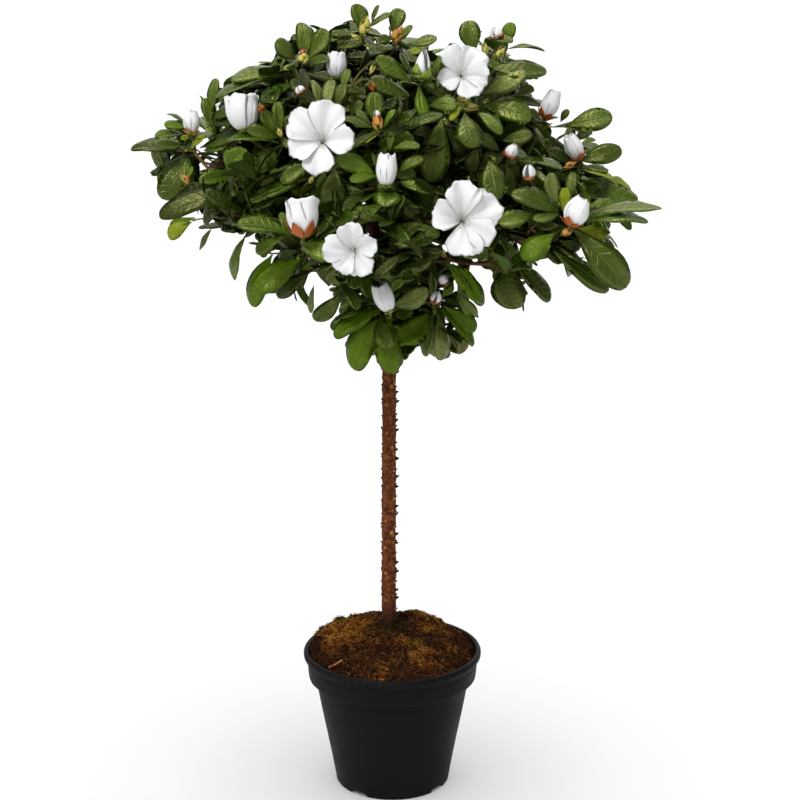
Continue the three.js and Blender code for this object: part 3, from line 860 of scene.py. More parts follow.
BOUGH_POINTS = 34
bough_paths = []
for label, (bend, base_size, tip_size) in BOUGHS.items():
    share = np.linspace(0, 1, BOUGH_POINTS)
    path = arc(bend, share)
    wander = np.stack([rough(path + shift, 26.0, 2) for shift in (9, 50, 90)], 1)
    path = path + wander * 1.1 * (share * (1 - share) * 4)[:, None]
    size = base_size + (tip_size - base_size) * share + 0.25 * rough(path + 5, 6.0, 2)
    size = size + 0.9 * np.exp(-share * 16)
    bough_paths.append(path)
    base = chains("base", [path * MM], [size * MM], [np.ones(BOUGH_POINTS)])
    keep(grow("limb_" + label, base, LIMBS, Sides=14, Finish=limb_bark), "young_bark", "bough_" + label)

# %% The cut stub by the fork
cut_line = smooth_path([(-3, 1, 455), (0, -6, 459), (4, -11.5, 463)], 4)
STUB_SIDES = 20
rings, _ = sweep(cut_line, np.linspace(4.2, 3.6, len(cut_line)), STUB_SIDES)
inner = cut_line[-1] + (rings[-1] - cut_line[-1]) * 0.72
points = np.concatenate([rings.reshape(-1, 3), inner, [cut_line[0], cut_line[-1] - (0.1, -0.2, 0.1)]]) * MM
cut_wood = mottled_material("cut_wood", (0.34, 0.17, 0.07), (0.55, 0.33, 0.16), 300, 1500, 0.0003, 0.8)
faces = tube_faces(len(cut_line) + 1, STUB_SIDES)
bark_count = (len(cut_line) - 1) * STUB_SIDES
slots = [0] * bark_count + [1] * (len(faces) - bark_count)
stub = mesh_piece("cut_stub", points, faces, [limb_bark, cut_wood], slots)
layer = stub.data.attributes.new("age", "FLOAT", "POINT")
layer.data.foreach_set("value", np.ones(len(stub.data.vertices), np.float32))
keep(stub, "bark", "trunk")

# %% [markdown]
# ## Sprays that are placed one by one
# At the front and along the outline the leaves are few and large, and their places make the
# plant's character. Each spray below is a shoot tip and its leaves. A leaf is given by its foot
# (x, y, z) and its tip (x, y, z), both counted from the shoot tip, its width, its roll about its
# midrib and the number of its tint, in millimetres and degrees. Tint 0 is painted shade, tint 7
# painted light and tint 5 a painted sheen, so the tints follow the light as well as the leaf.

# %% Sprays that are placed one by one
SPRAYS = {
    "top_left": ((-67, -66, 614), [
        (-5,0,6, -19,0,21, 13,-73,1), (0,0,4, -1,10,33, 14,9,2), (4,0,6, 18,5,28, 15,61,2),
        (0,0,1, 21,-16,7, 12,43,1), (0,0,0, 1,-26,-16, 14,-27,0), (-3,0,1, -14,-8,-1, 6,-35,4),
        (-8,0,-5, -54,-5,-10, 19,-35,2), (-4,0,-6, -65,-20,-21, 19,-6,1), (-2,0,-11, -32,-20,-27, 18,-16,2),
        (2,0,-20, -29,-25,-26, 18,-16,0), (3,0,-5, 32,-12,-5, 14,32,1),
    ]),
    "left_up": ((-139, -36, 566), [
        (-2,0,1, -5,5,21, 12,-15,2), (-4,0,11, -9,8,23, 7,21,2), (0,0,11, 4,5,36, 11,15,2), (2,0,16, 14,2,26, 7,56,1),
        (0,0,3, 18,-15,13, 11,65,1), (-5,0,-2, 22,-20,6, 16,37,0),
    ]),
    "left_tip_bud": ((-158, -24, 556), [
        (-1,0,8, -17,0,18, 8,-18,1), (0,0,8, -19,-5,10, 9,-55,3), (1,0,2, 21,-20,4, 13,25,2),
        (-4,0,2, -26,-10,0, 11,-35,2), (0,0,0, -6,-8,-1, 5,-40,4),
    ]),
    "left": ((-159, -36, 547), [
        (2,0,-2, -43,-5,2, 19,-29,0), (-4,0,5, -22,-18,7, 12,-60,2), (1,0,-4, -19,-12,-36, 22,-53,1),
        (1,0,-3, -23,2,-27, 15,-48,1), (13,0,0, 33,-15,6, 11,48,2), (10,0,2, 48,-12,19, 19,36,2),
        (2,0,-6, 4,-8,-27, 10,-46,3), (2,0,0, 15,-8,12, 8,58,4),
    ]),
    "left_inner": ((-123, -76, 532), [
        (0,0,1, 13,-5,23, 18,96,3), (5,0,1, -21,-18,0, 14,-59,2), (2,0,3, 25,0,15, 12,73,0),
        (-1,0,-5, 24,8,-15, 13,53,0),
    ]),
    "left_low": ((-118, -84, 522), [
        (-4,0,2, -58,0,-19, 19,-57,0), (0,0,-3, -26,12,-26, 17,-63,0), (3,0,-6, -6,6,-32, 14,-110,0),
        (5,0,-4, 20,0,-16, 12,68,1),
    ]),
    "left_hang": ((-151, -60, 497), [
        (-1,0,2, -21,6,-7, 10,-78,7), (-3,0,-2, -22,0,-14, 13,-73,4), (2,0,4, -3,6,22, 9,19,1),
        (12,0,-7, 2,5,-25, 10,-56,2),
    ]),
    "left_bud": ((-158, -48, 524), [
        (2,0,0, -9,3,-7, 6,-51,1), (0,0,2, 4,3,12, 5,33,3),
    ]),
    "front_left": ((-82, -108, 567), [
        (1,0,3, -2,5,26, 11,-7,2), (-2,0,1, -14,2,19, 11,-64,2), (-1,0,0, -24,-8,8, 12,-76,2),
        (1,0,1, 10,-8,-7, 7,44,1), (3,0,6, 7,0,16, 7,79,1), (3,0,13, 23,-5,20, 10,47,2),
        (0,0,-5, -38,-12,0, 18,-16,2), (1,0,-2, 14,6,-10, 11,83,0),
    ]),
    "bloom_a": ((-54, -122, 548), [
        (-16,0,2, -41,5,-17, 14,-71,2), (-4,0,2, -27,-8,-11, 13,-63,2), (-6,0,-9, -49,-12,-25, 19,-19,2),
        (1,0,40, -3,12,62, 11,26,5), (8,0,40, 10,12,62, 12,-6,5), (14,0,41, 20,6,59, 10,35,1),
        (13,0,-1, 14,-14,-32, 25,10,1), (6,0,-4, 0,0,-18, 9,-77,2),
    ]),
    "front_top_left": ((-29, -112, 601), [
        (-6,0,1, -2,5,16, 8,27,2), (11,0,-2, -9,-5,2, 9,-56,1), (-1,0,-18, 8,0,-7, 10,75,2),
        (-1,0,0, -16,-8,-8, 9,-60,2),
    ]),
    "top_bud": ((-21, -40, 634), [
        (-1,0,3, -7,4,25, 14,-41,2), (6,0,10, 11,6,24, 7,-13,1), (-2,0,1, -25,-6,3, 11,-31,1),
        (2,0,6, 21,0,18, 10,22,2), (-11,0,3, -25,-8,-2, 8,-38,2), (8,0,-3, -20,-8,-7, 13,-24,1),
        (-2,0,0, 9,-14,-10, 9,6,1), (2,0,1, -11,10,9, 8,-9,1),
    ]),
    "top": ((3, -38, 627), [
        (-2,0,9, 4,5,28, 13,40,2), (0,0,2, 13,0,16, 8,51,3), (7,0,1, 32,-6,6, 12,43,2), (-2,0,6, -13,-4,5, 8,-70,2),
        (1,0,0, -18,-12,-1, 10,-29,1), (7,0,-3, 19,-12,-3, 8,44,4), (-7,0,-3, -35,-12,-7, 14,-14,1),
        (5,0,-1, 14,-20,-11, 11,-4,0),
    ]),
    "top_front": ((22, -106, 608), [
        (-2,0,-3, 3,-14,-26, 12,-12,3), (-7,0,0, -33,-4,18, 14,-66,2), (-7,0,-11, -37,-8,3, 16,-58,1),
        (-7,0,4, -16,4,20, 9,-8,1), (5,0,-2, 15,2,18, 10,22,2), (2,0,-5, 9,-4,4, 6,59,3),
        (5,0,-18, 26,-10,-16, 15,73,2), (-1,0,-19, -25,-12,-33, 14,-28,1), (4,0,-6, 23,2,-8, 9,73,0),
    ]),
    "front_bud": ((-9, -142, 574), [
        (-1,0,5, -3,6,30, 15,-1,2), (-3,0,5, -26,-3,12, 11,-38,1), (-1,0,1, -21,-6,-9, 10,-20,1),
        (0,0,0, -10,-8,-5, 6,-10,4), (4,0,5, 12,0,18, 7,34,3), (-5,0,6, -16,4,17, 7,-58,1), (2,0,-1, 18,6,4, 9,65,0),
    ]),
    "front": ((-3, -144, 537), [
        (2,0,25, 3,2,39, 7,25,2), (5,0,27, 24,-4,29, 9,49,2), (-11,0,25, -7,-4,16, 5,14,1),
        (8,0,9, 26,-3,21, 10,60,2), (-9,0,9, -36,0,20, 14,-70,3), (-6,0,7, -27,-8,4, 10,-47,3),
        (2,0,-2, -2,-20,-12, 21,-6,2), (7,0,3, 33,-8,-4, 13,34,2), (-2,0,-14, -28,-6,-25, 14,-65,2),
        (11,0,-6, 24,4,-24, 16,87,0), (4,0,7, 21,4,9, 9,68,1),
    ]),
    "front_right": ((39, -112, 581), [
        (-1,0,2, -10,-12,-45, 25,-24,1), (15,0,5, 22,-16,-19, 22,19,1), (12,0,10, 4,-6,0, 6,-41,4),
        (25,0,5, 42,-10,-9, 11,46,2), (0,0,-5, 20,8,-30, 15,92,0), (-25,0,-11, -10,10,-9, 12,66,0),
        (-27,0,-12, -30,8,-30, 11,-145,0),
    ]),
    "right_top": ((69, -82, 590), [
        (-2,0,5, 31,-10,23, 17,60,5), (-2,0,-3, 35,-14,-10, 21,68,2), (5,0,25, 47,0,22, 19,45,1),
        (17,0,24, 41,2,18, 11,38,2), (18,0,4, 43,4,-3, 12,35,0), (24,0,5, 38,4,10, 8,65,1), (0,0,8, 0,4,26, 11,8,1),
        (0,0,-1, 13,6,8, 9,55,0),
    ]),
    "top_right": ((74, -60, 621), [
        (-12,0,3, -16,6,27, 17,-23,2), (12,0,9, 17,0,26, 11,74,3), (-4,0,14, 17,-12,13, 11,35,1),
        (13,0,6, 42,0,4, 13,8,2), (-3,0,1, -4,0,11, 5,-74,4), (2,0,-2, 12,-4,9, 7,59,4), (-1,0,-3, 7,-16,-6, 9,54,2),
    ]),
    "right_bloom": ((120, -30, 564), [
        (15,0,1, 51,-4,9, 19,72,2), (3,0,0, 36,-2,-5, 15,17,0), (11,0,4, 17,0,14, 6,71,1),
        (1,0,-5, 13,-4,-16, 8,51,0), (-3,0,-2, -12,6,14, 9,-33,1), (-20,0,-23, 3,-12,-10, 15,82,2),
        (-5,0,-5, -14,2,7, 8,-68,0),
    ]),
    "right_front_bud": ((84, -104, 556), [
        (-2,0,8, 20,-6,14, 12,74,1), (-3,0,0, -21,-8,13, 11,-84,1), (2,0,-5, 9,-6,-19, 14,40,0),
        (4,0,-8, 43,-6,-14, 18,13,1), (0,0,-3, -17,-6,-11, 15,-61,0),
    ]),
    "right": ((144, -52, 537), [
        (1,0,4, 33,0,13, 16,69,1), (0,0,3, -26,-10,14, 13,-56,0), (1,0,0, 23,-2,-4, 10,29,2),
        (1,0,17, 13,6,20, 6,29,2), (-2,0,-3, 26,-6,-9, 13,10,4), (1,0,-8, 46,0,-28, 19,55,2),
        (17,0,-9, 43,8,-20, 13,32,4), (0,0,-17, 18,-4,-27, 9,54,1), (-2,0,-14, 10,-6,-19, 6,20,4),
    ]),
    "right_striped": ((122, -140, 521), [
        (0,0,1, -6,4,24, 12,-48,5), (7,0,3, 11,8,24, 10,0,1), (4,0,-5, 5,0,14, 10,74,4),
        (1,0,-4, -35,-4,10, 17,-57,1), (1,0,-5, -19,-8,-8, 10,-46,2), (-16,0,-5, -44,-4,-11, 14,-66,2),
    ]),
    "right_low_bloom": ((129, -146, 505), [
        (13,0,12, 69,6,12, 19,19,5), (12,0,6, 58,-4,9, 19,12,2), (3,0,1, 43,-10,-41, 25,65,1),
        (-11,0,-15, 32,4,-46, 19,49,1), (7,0,1, 29,6,-5, 11,74,4), (-6,0,-8, 10,4,-14, 9,75,0),
        (-9,0,-2, -34,-10,-19, 19,-55,7), (13,0,15, 26,0,22, 7,30,2), (-6,0,3, -23,4,2, 8,-57,0),
    ]),
    "right_hang": ((92, -72, 466), [
        (-2,0,-1, 3,-10,-35, 27,19,1), (2,0,0, 31,2,-31, 19,45,1), (10,0,3, 15,0,-7, 6,77,2),
        (2,0,13, -24,4,-2, 20,-72,0), (-7,0,24, 3,0,3, 15,77,0), (7,0,17, -15,-2,29, 11,-38,1),
    ]),
    "right_mid": ((75, -126, 555), [
        (-3,0,-2, 2,-14,-29, 22,11,1), (9,0,-5, 14,4,-29, 11,105,0), (-11,0,5, -17,6,-12, 13,-118,0),
        (-42,0,-24, -51,4,-41, 11,-95,0), (-35,0,-27, -45,-4,-35, 8,-57,1),
    ]),
    "middle_right": ((38, -128, 486), [
        (-5,0,21, -38,-5,10, 17,-66,2), (-1,0,0, -36,-8,-8, 20,-64,1), (0,0,6, 25,-4,-4, 12,38,2),
        (3,0,-9, 26,0,-39, 17,49,7), (10,0,-12, 32,6,-42, 17,48,1),
    ]),
    "low_bud": ((32, -104, 436), [
        (-4,0,-2, -29,-18,-22, 23,-45,7), (0,0,-2, -6,-4,-36, 16,-5,2), (3,0,-2, 7,-8,-38, 16,-16,5),
        (5,0,1, 31,-5,-27, 18,25,7), (7,0,3, 32,2,-17, 16,72,7), (17,0,-7, 22,3,-36, 14,88,6),
        (7,0,10, 15,0,18, 6,69,3), (-1,0,7, -3,2,28, 10,0,2), (18,0,13, 31,6,-8, 12,95,2),
    ]),
    "low_bloom": ((-3, -118, 436), [
        (-3,0,3, -40,-6,-17, 19,-36,7), (-12,0,3, -40,4,-7, 14,-13,1), (-12,0,10, -36,0,7, 11,-21,3),
        (-4,0,-3, -25,-8,-42, 23,-55,7), (1,0,-3, 4,-14,-43, 21,0,7), (-6,0,-2, 1,-20,-22, 16,7,2),
        (4,0,6, 30,-10,21, 16,77,5), (3,0,16, 12,0,26, 8,71,3), (-2,0,24, 1,2,33, 6,44,2), (1,0,23, 20,6,27, 11,63,2),
    ]),
    "low_left_bloom": ((-64, -152, 497), [
        (-4,0,4, -48,-4,13, 19,-27,2), (-2,0,-1, 26,-14,-9, 16,59,3), (9,0,3, 21,0,19, 9,42,2),
        (11,0,1, 32,-3,15, 12,31,2), (-9,0,4, -16,8,21, 9,-15,2),
    ]),
    "low_left": ((-68, -112, 479), [
        (2,0,-1, -34,-14,-24, 20,-59,7), (-21,0,1, -37,5,-40, 19,-74,7), (5,0,-13, -19,5,-32, 14,-64,0),
        (-11,0,15, -34,8,1, 12,-68,3), (-40,0,16, -49,0,-19, 16,-32,2), (-2,0,4, -16,6,-6, 11,-84,0),
        (10,0,-22, 7,0,-44, 10,-27,2), (31,0,-28, 9,0,-49, 14,-71,1), (17,0,-9, 46,-5,-19, 14,26,1),
        (38,0,-19, 26,8,-36, 13,-97,0),
    ]),
}
print(len(SPRAYS), "sprays,", sum(len(leaves) for _, leaves in SPRAYS.values()), "leaves placed by hand")

# %% [markdown]
# ## Flowers and buds that are placed one by one
# kind, foot of the flower, the way it points, its width and its length, in millimetres.

# %% Flowers and buds that are placed one by one
BLOOMS = [
    ("open", -49, -141, 568, -0.1, -0.93, 0.36, 47, 14),
    ("open", 51, -168, 515, 0.1, -0.95, 0.28, 49, 15),
    ("open", 52, -93, 610, 0.08, -0.9, 0.42, 36, 12),
    ("open", -26, -178, 496, -0.1, -0.99, 0.12, 36, 12),
    ("cup", -41, -78, 607, 0.0, 0.25, 0.97, 16, 20),
    ("cup", -107, -112, 572, -0.16, 0.28, 0.95, 25, 28),
    ("cup_gold", -155, -36, 560, -0.0, 0.27, 0.96, 14, 19),
    ("cup_rust", -63, -166, 503, -0.05, 0.28, 0.96, 24, 28),
    ("cup", -4, -156, 538, 0.06, 0.28, 0.96, 16, 25),
    ("cup", -1, -136, 441, -0.37, 0.21, 0.9, 16, 23),
    ("point", 118, -38, 572, 0.38, 0.21, 0.9, 15, 24),
    ("point", 144, -62, 544, -0.46, 0.0, 0.89, 14, 21),
    ("point", 129, -162, 511, 0.43, 0.23, 0.87, 19, 22),
    ("small", 86, -114, 553, 0.45, -0.24, 0.86, 10, 13),
    ("small", 101, -140, 541, -0.15, -0.25, 0.96, 10, 12),
    ("small", 40, -108, 457, -0.26, -0.44, 0.86, 8, 9),
    ("small", 32, -114, 443, 0.27, -0.28, 0.92, 9, 11),
    ("small", -65, -112, 600, -0.6, 0.0, 0.8, 8, 7),
    ("small", 80, -66, 635, -0.31, 0.0, 0.95, 10, 10),
    ("yellow_red", -66, -74, 617, 0.01, 0.0, 1.0, 10, 11),
    ("yellow", -22, -50, 635, 0.22, 0.0, 0.98, 10, 18),
    ("orange", 1, -47, 630, 0.43, 0.0, 0.9, 10, 17),
    ("sheathed", 22, -114, 609, 0.09, 0.0, 1.0, 12, 23),
    ("orange_white", -9, -150, 578, -0.1, 0.0, 0.99, 9, 14),
    ("yellow", 51, -92, 588, 1.0, 0.0, -0.05, 7.5, 16),
    ("yellow", 49, -90, 592, 0.91, 0.0, 0.42, 9, 11),
    ("rust", -93, -112, 588, -0.94, 0.0, 0.35, 7, 6),
    ("orange", -157, -54, 524, -0.32, 0.0, 0.95, 6.5, 9),
    ("yellow", -81, -114, 568, -0.25, 0.0, 0.97, 5, 8),
    ("rust", -15, -120, 609, 0.29, 0.0, -0.96, 5, 8),
    ("yellow", -12, -118, 622, -0.42, 0.0, -0.91, 4, 9),
    ("yellow", 79, -70, 621, 0.54, 0.0, 0.84, 6.5, 12),
    ("yellow", 71, -66, 623, -0.08, 0.0, 1.0, 5, 10),
    ("yellow", -23, -52, 633, -0.87, 0.0, 0.5, 4, 10),
    ("orange", 124, -152, 502, 0.86, 0.0, 0.51, 7, 10),
    ("orange", 131, -66, 538, 0.92, 0.0, 0.4, 6, 12),
    ("yellow", -57, -126, 541, -0.53, 0.0, -0.85, 4, 7),
]
print(len(BLOOMS), "flowers and buds placed by hand")

# %% [markdown]
# ## How the crown grows
# The rest of the crown follows a seeded rule. Points are dealt over the skin of the packed
# masses and drawn in by a leaf's length, and a point is kept if no shoot is near it yet. Each
# shoot is then joined to the nearest wood, counting the way back to the trunk, so twigs fork and
# thin as they go out. A few openings stay clear, where light shows through the real crown, and
# the leaves stay inside its outline as it is seen from in front.

# %% Points over the skin of the masses
masses = sorted(name for name in frame["nodes"] if name.startswith("foliage_"))
corners, shape_faces = [], []
for name in masses:
    mesh = frame["nodes"][name].data
    start = sum(len(part) for part in corners)
    corners.append(np.array([v.co[:] for v in mesh.vertices]))
    shape_faces += [[start + i for i in poly.vertices] for poly in mesh.polygons]
corners = np.concatenate(corners)
skin = BVHTree.FromPolygons(corners.tolist(), shape_faces)
triangles = corners[np.array([face[:3] for face in shape_faces])]
facing = np.cross(triangles[:, 1] - triangles[:, 0], triangles[:, 2] - triangles[:, 0])
area = np.linalg.norm(facing, axis=1)
SPOTS = 9000
pick = rng.choice(len(triangles), SPOTS, p=area / area.sum())
share = rng.random((SPOTS, 2))
share[share.sum(1) > 1] = 1 - share[share.sum(1) > 1]
first, second, third = (triangles[pick, k] for k in range(3))
spots = first + (second - first) * share[:, :1] + (third - first) * share[:, 1:]
ways = unit(facing[pick])
outer = np.array([skin.ray_cast(Vector(p + n * 2e-4), Vector(n), 0.009)[0] is None for p, n in zip(spots, ways)])
spots, ways = spots[outer] / MM, ways[outer]
print(len(spots), "points on the outer skin")

# %% The outline and the openings
EYE = np.array([6.5, -1600.0, 774.0])  # the camera's place, in millimetres
HEART = np.array([0, 0, 470])  # where the boughs fork
# how far the crown reaches from its middle, at every 7.5 degrees as seen from in front
OUTLINE_X, OUTLINE_Z, OUTLINE_STEP = 6.5, 510, 7.5
OUTLINE = [
    184, 158, 159, 172, 145, 134, 152, 151, 145, 142, 110, 121, 140, 140, 147, 138, 150, 151, 140,
    160, 171, 173, 195, 207, 196, 189, 133, 124, 142, 155, 123, 121, 119, 130, 152, 142, 153, 127,
    142, 143, 122, 113, 138, 133, 123, 200, 182, 194,
]
# x, z and radius of each opening through which light shows
OPENINGS = [
    (-8, 637, 6), (103, 618, 5), (65, 616, 5), (131, 554, 6), (115, 588, 4), (133, 577, 3),
    (159, 531, 4), (-148, 545, 6), (-149, 529, 3), (-175, 504, 5), (-152, 489, 7), (36, 470, 4),
    (-14, 474, 5), (-9, 467, 3), (-57, 427, 5), (-94, 457, 4), (102, 461, 3), (149, 462, 5),
    (69, 445, 5), (76, 434, 6), (81, 423, 5), (70, 420, 3), (123, 452, 4), (132, 445, 4),
    (-44, 414, 3), (-39, 389, 3), (178, 476, 4), (-196, 521, 3), (-97, 424, 3),
]


def from_in_front(points):
    """Where points seen from in front fall on the upright plane through the trunk."""
    way = points - EYE
    return EYE + way * (-EYE[1] / way[..., 1:2])


def hidden_outside(points, slack):
    """True where a point would show beyond the crown's outline or in one of its openings."""
    seen = from_in_front(points)
    x, z = seen[..., 0], seen[..., 2]
    turn = (np.degrees(np.arctan2(z - OUTLINE_Z, x - OUTLINE_X)) % 360) / OUTLINE_STEP
    limit = np.interp(turn, np.arange(len(OUTLINE) + 1), OUTLINE + OUTLINE[:1])
    bad = np.hypot(x - OUTLINE_X, z - OUTLINE_Z) > limit + slack
    for a, b, size in OPENINGS:
        bad |= np.hypot(x - a, z - b) < size
    return bad


print(len(OPENINGS), "openings, and the crown reaches", min(OUTLINE), "to", max(OUTLINE), "mm from its middle")

# %% Shoots
shoots, taken = [], []


def free(place, kind, own, other):
    """True where no shoot of the same layer is nearer than own, and no other shoot nearer than other."""
    gap = np.linalg.norm(np.array([p for p, _ in taken]) - place, axis=1)
    same = np.array([k == kind for _, k in taken])
    return gap[same].min(initial=1e9) > own and gap[~same].min(initial=1e9) > other


for heart, leaves in SPRAYS.values():
    heart, leaves = np.array(heart, float), np.array(leaves, float)
    feet, tips = heart + leaves[:, :3], heart + leaves[:, 3:6]
    way = unit((tips - feet).sum(0) * 0.4 + unit(heart - (0, 0, 480)) * 40)
    placed = list(zip(feet, tips, leaves[:, 6:]))
    shoots.append({"tip": heart, "way": way, "leaves": placed, "kind": "placed"})
    taken.append((heart, "skin"))
    taken += [((a + b) / 2, "leaf") for a, b in zip(feet, tips) if np.linalg.norm(b - a) > 26]

# layer, its depth under the skin, and the least gap to shoots of its own and of other layers
LAYERS = [
    ("skin", 19.0, 27.0, 15.0), ("under", 41.0, 26.0, 16.0),
    ("heart", 66.0, 28.0, 19.0), ("core", 92.0, 32.0, 22.0),
]
for kind, depth, spacing, clear in LAYERS:
    for p, n in zip(spots, ways):
        front = n[1] < -0.2 and p[1] < -20
        if kind == "skin" and front:
            continue
        place = p - n * (depth * rng.uniform(0.85, 1.15) + (4 if front else 0))
        low = n[2] < -0.3
        if kind != "skin" and low:
            continue
        if hidden_outside(place[None], -14)[0] or not free(place, kind, spacing * (1.2 if low else 1.0), clear):
            continue
        outwards = unit(place - HEART) * (1, 1, 0.4)
        way = unit(n * 0.7 + outwards * 0.5 + np.array([0, 0, 0.5 if not low else -0.1]) + rng.normal(0, 0.18, 3))
        shoots.append({"tip": place, "way": way, "leaves": None, "kind": kind})
        taken.append((place, kind))


BLOOM_CLEARANCE = 16


def hides_bloom(place):
    """True where a shoot would hang in front of one of the placed flowers."""
    for _, x, y, z, ax, ay, az, _, length in BLOOMS:
        middle = np.array([x, y, z]) + unit((ax, ay, az)) * length * 0.5
        gap, toward = place - middle, unit(EYE - middle)
        ahead = gap @ toward
        if ahead > 0 and np.linalg.norm(gap - ahead * toward) < BLOOM_CLEARANCE:
            return True
    return False


shoots = [s for s in shoots if s["kind"] == "placed" or not hides_bloom(s["tip"])]
# two strong side branches that run out to the left and to the low right
LEADERS = [
    ((-49, -30, 490), (-79, -45, 500), (-107, -60, 517), (-126, -58, 527), (-141, -50, 535), (-152, -42, 546)),
    ((18, -40, 477), (35, -60, 474), (45, -70, 468), (60, -72, 465), (80, -72, 465), (100, -70, 470)),
]
kinds = [s["kind"] for s in shoots]
print(len(shoots), "shoots:", {k: kinds.count(k) for k in dict.fromkeys(kinds)})

# %% Twigs join the shoots to the boughs
knots, headings, reach, parent = [], [], [], []
for path in bough_paths:
    whole = np.concatenate([[0], np.cumsum(np.linalg.norm(np.diff(path, axis=0), axis=1))])
    along = unit(np.gradient(path, axis=0))
    for i in (14, 20, 26, 33):
        knots.append(path[i])
        headings.append(along[i])
        reach.append(40 + (whole[-1] - whole[i]) * 0.8)
        parent.append(-1)
knots, headings, reach = [np.array(a, float) for a in (knots, headings, reach)]
all_bough_points = np.concatenate(bough_paths)
leaders = []
for line in LEADERS:
    root = all_bough_points[np.linalg.norm(all_bough_points - np.array(line[0]), axis=1).argmin()]
    path = smooth_path([root, *line], 5)
    leaders.append(path)
    along = unit(np.gradient(path, axis=0))
    chosen = range(6, len(path), 4)
    knots = np.concatenate([knots, path[chosen]])
    headings = np.concatenate([headings, along[chosen]])
    reach = np.concatenate([reach, 55 + np.array(chosen) * 1.5])
    parent += [-1] * len(chosen)
tips = np.array([s["tip"] for s in shoots])
twigs = []
TWIG_POINTS = 10
best = np.full(len(shoots), np.inf)
choice = np.zeros(len(shoots), int)


def cubic(t, a, b, c, d):
    """Points of the curve that leaves a towards b and comes to d from c."""
    return (1 - t) ** 3 * a + 3 * t * (1 - t) ** 2 * b + 3 * t**2 * (1 - t) * c + t**3 * d


def cost_to(first):
    """Cost of joining every shoot to each knot from number first on."""
    gap = tips[:, None] - knots[None, first:]
    length = np.linalg.norm(gap, axis=2)
    turn = 1 - (gap * headings[None, first:]).sum(2) / np.maximum(length, 1e-6)
    return length * (1 + 0.5 * turn) + 0.35 * reach[None, first:]


def refresh(first):
    cost = cost_to(first)
    nearest = cost.argmin(1)
    low = cost[np.arange(len(cost)), nearest]
    better = low < best
    best[better], choice[better] = low[better], nearest[better] + first


refresh(0)
open_shoots = np.ones(len(shoots), bool)
while open_shoots.any():
    i = int(np.where(open_shoots, best, np.inf).argmin())
    open_shoots[i] = False
    k = int(choice[i])
    a, d = knots[k], shoots[i]["tip"]
    length = np.linalg.norm(d - a)
    b = a + headings[k] * length * 0.36
    c = d - shoots[i]["way"] * length * 0.34 - np.array([0, 0, 0.03 * length])
    t = np.linspace(0, 1, TWIG_POINTS)[:, None]
    path = cubic(t, a, b, c, d)
    if hidden_outside(path[1:-1], -8).any():
        path = path * 0.25 + (a + (d - a) * t) * 0.75
    # bowed a little towards the crown's heart, as shoots that reach for the light are
    inwards = unit(HEART - path[TWIG_POINTS // 2])
    path = path + inwards * 0.09 * length * np.sin(math.pi * t)
    along = unit(np.gradient(path, axis=0))
    first = len(knots)
    new = [3, 6, TWIG_POINTS - 1] if length > 24 else [TWIG_POINTS - 1]
    previous = k
    for j in new:
        knots = np.concatenate([knots, path[j : j + 1]])
        headings = np.concatenate([headings, along[j : j + 1]])
        reach = np.append(reach, reach[k] + length * j / (TWIG_POINTS - 1))
        parent.append(previous)
        previous = len(parent) - 1
    twigs.append((path, [k] + list(range(first, first + len(new))), [0] + new))
    refresh(first)
print(len(twigs), "twigs with", len(knots), "knots")

# %% Twigs thicken by the shoots that they carry
load = np.zeros(len(knots))
for path, marks, _ in twigs:
    k = marks[-1]
    while k >= 0:
        load[k] += 1
        k = parent[k]
sizes = np.minimum(0.72 * np.maximum(load, 1) ** 0.36, 1.75)
paths, thick, ages = [], [], []
for path, marks, steps in twigs:
    at = np.interp(np.arange(TWIG_POINTS), steps, sizes[marks])
    at[-2:] *= 0.9
    paths.append(path * MM)
    thick.append(at * MM)
    ages.append(np.clip((at - 0.68) / 0.75, 0, 1))
for path in leaders:
    paths.append(path * MM)
    thick.append(np.linspace(2.0, 1.15, len(path)) * MM)
    ages.append(np.linspace(0.75, 0.32, len(path)))
base = chains("base", paths, thick, ages)
twig_piece = grow("twigs", base, LIMBS, Sides=6, Finish=limb_bark)
keep(twig_piece, "young_bark", *masses)
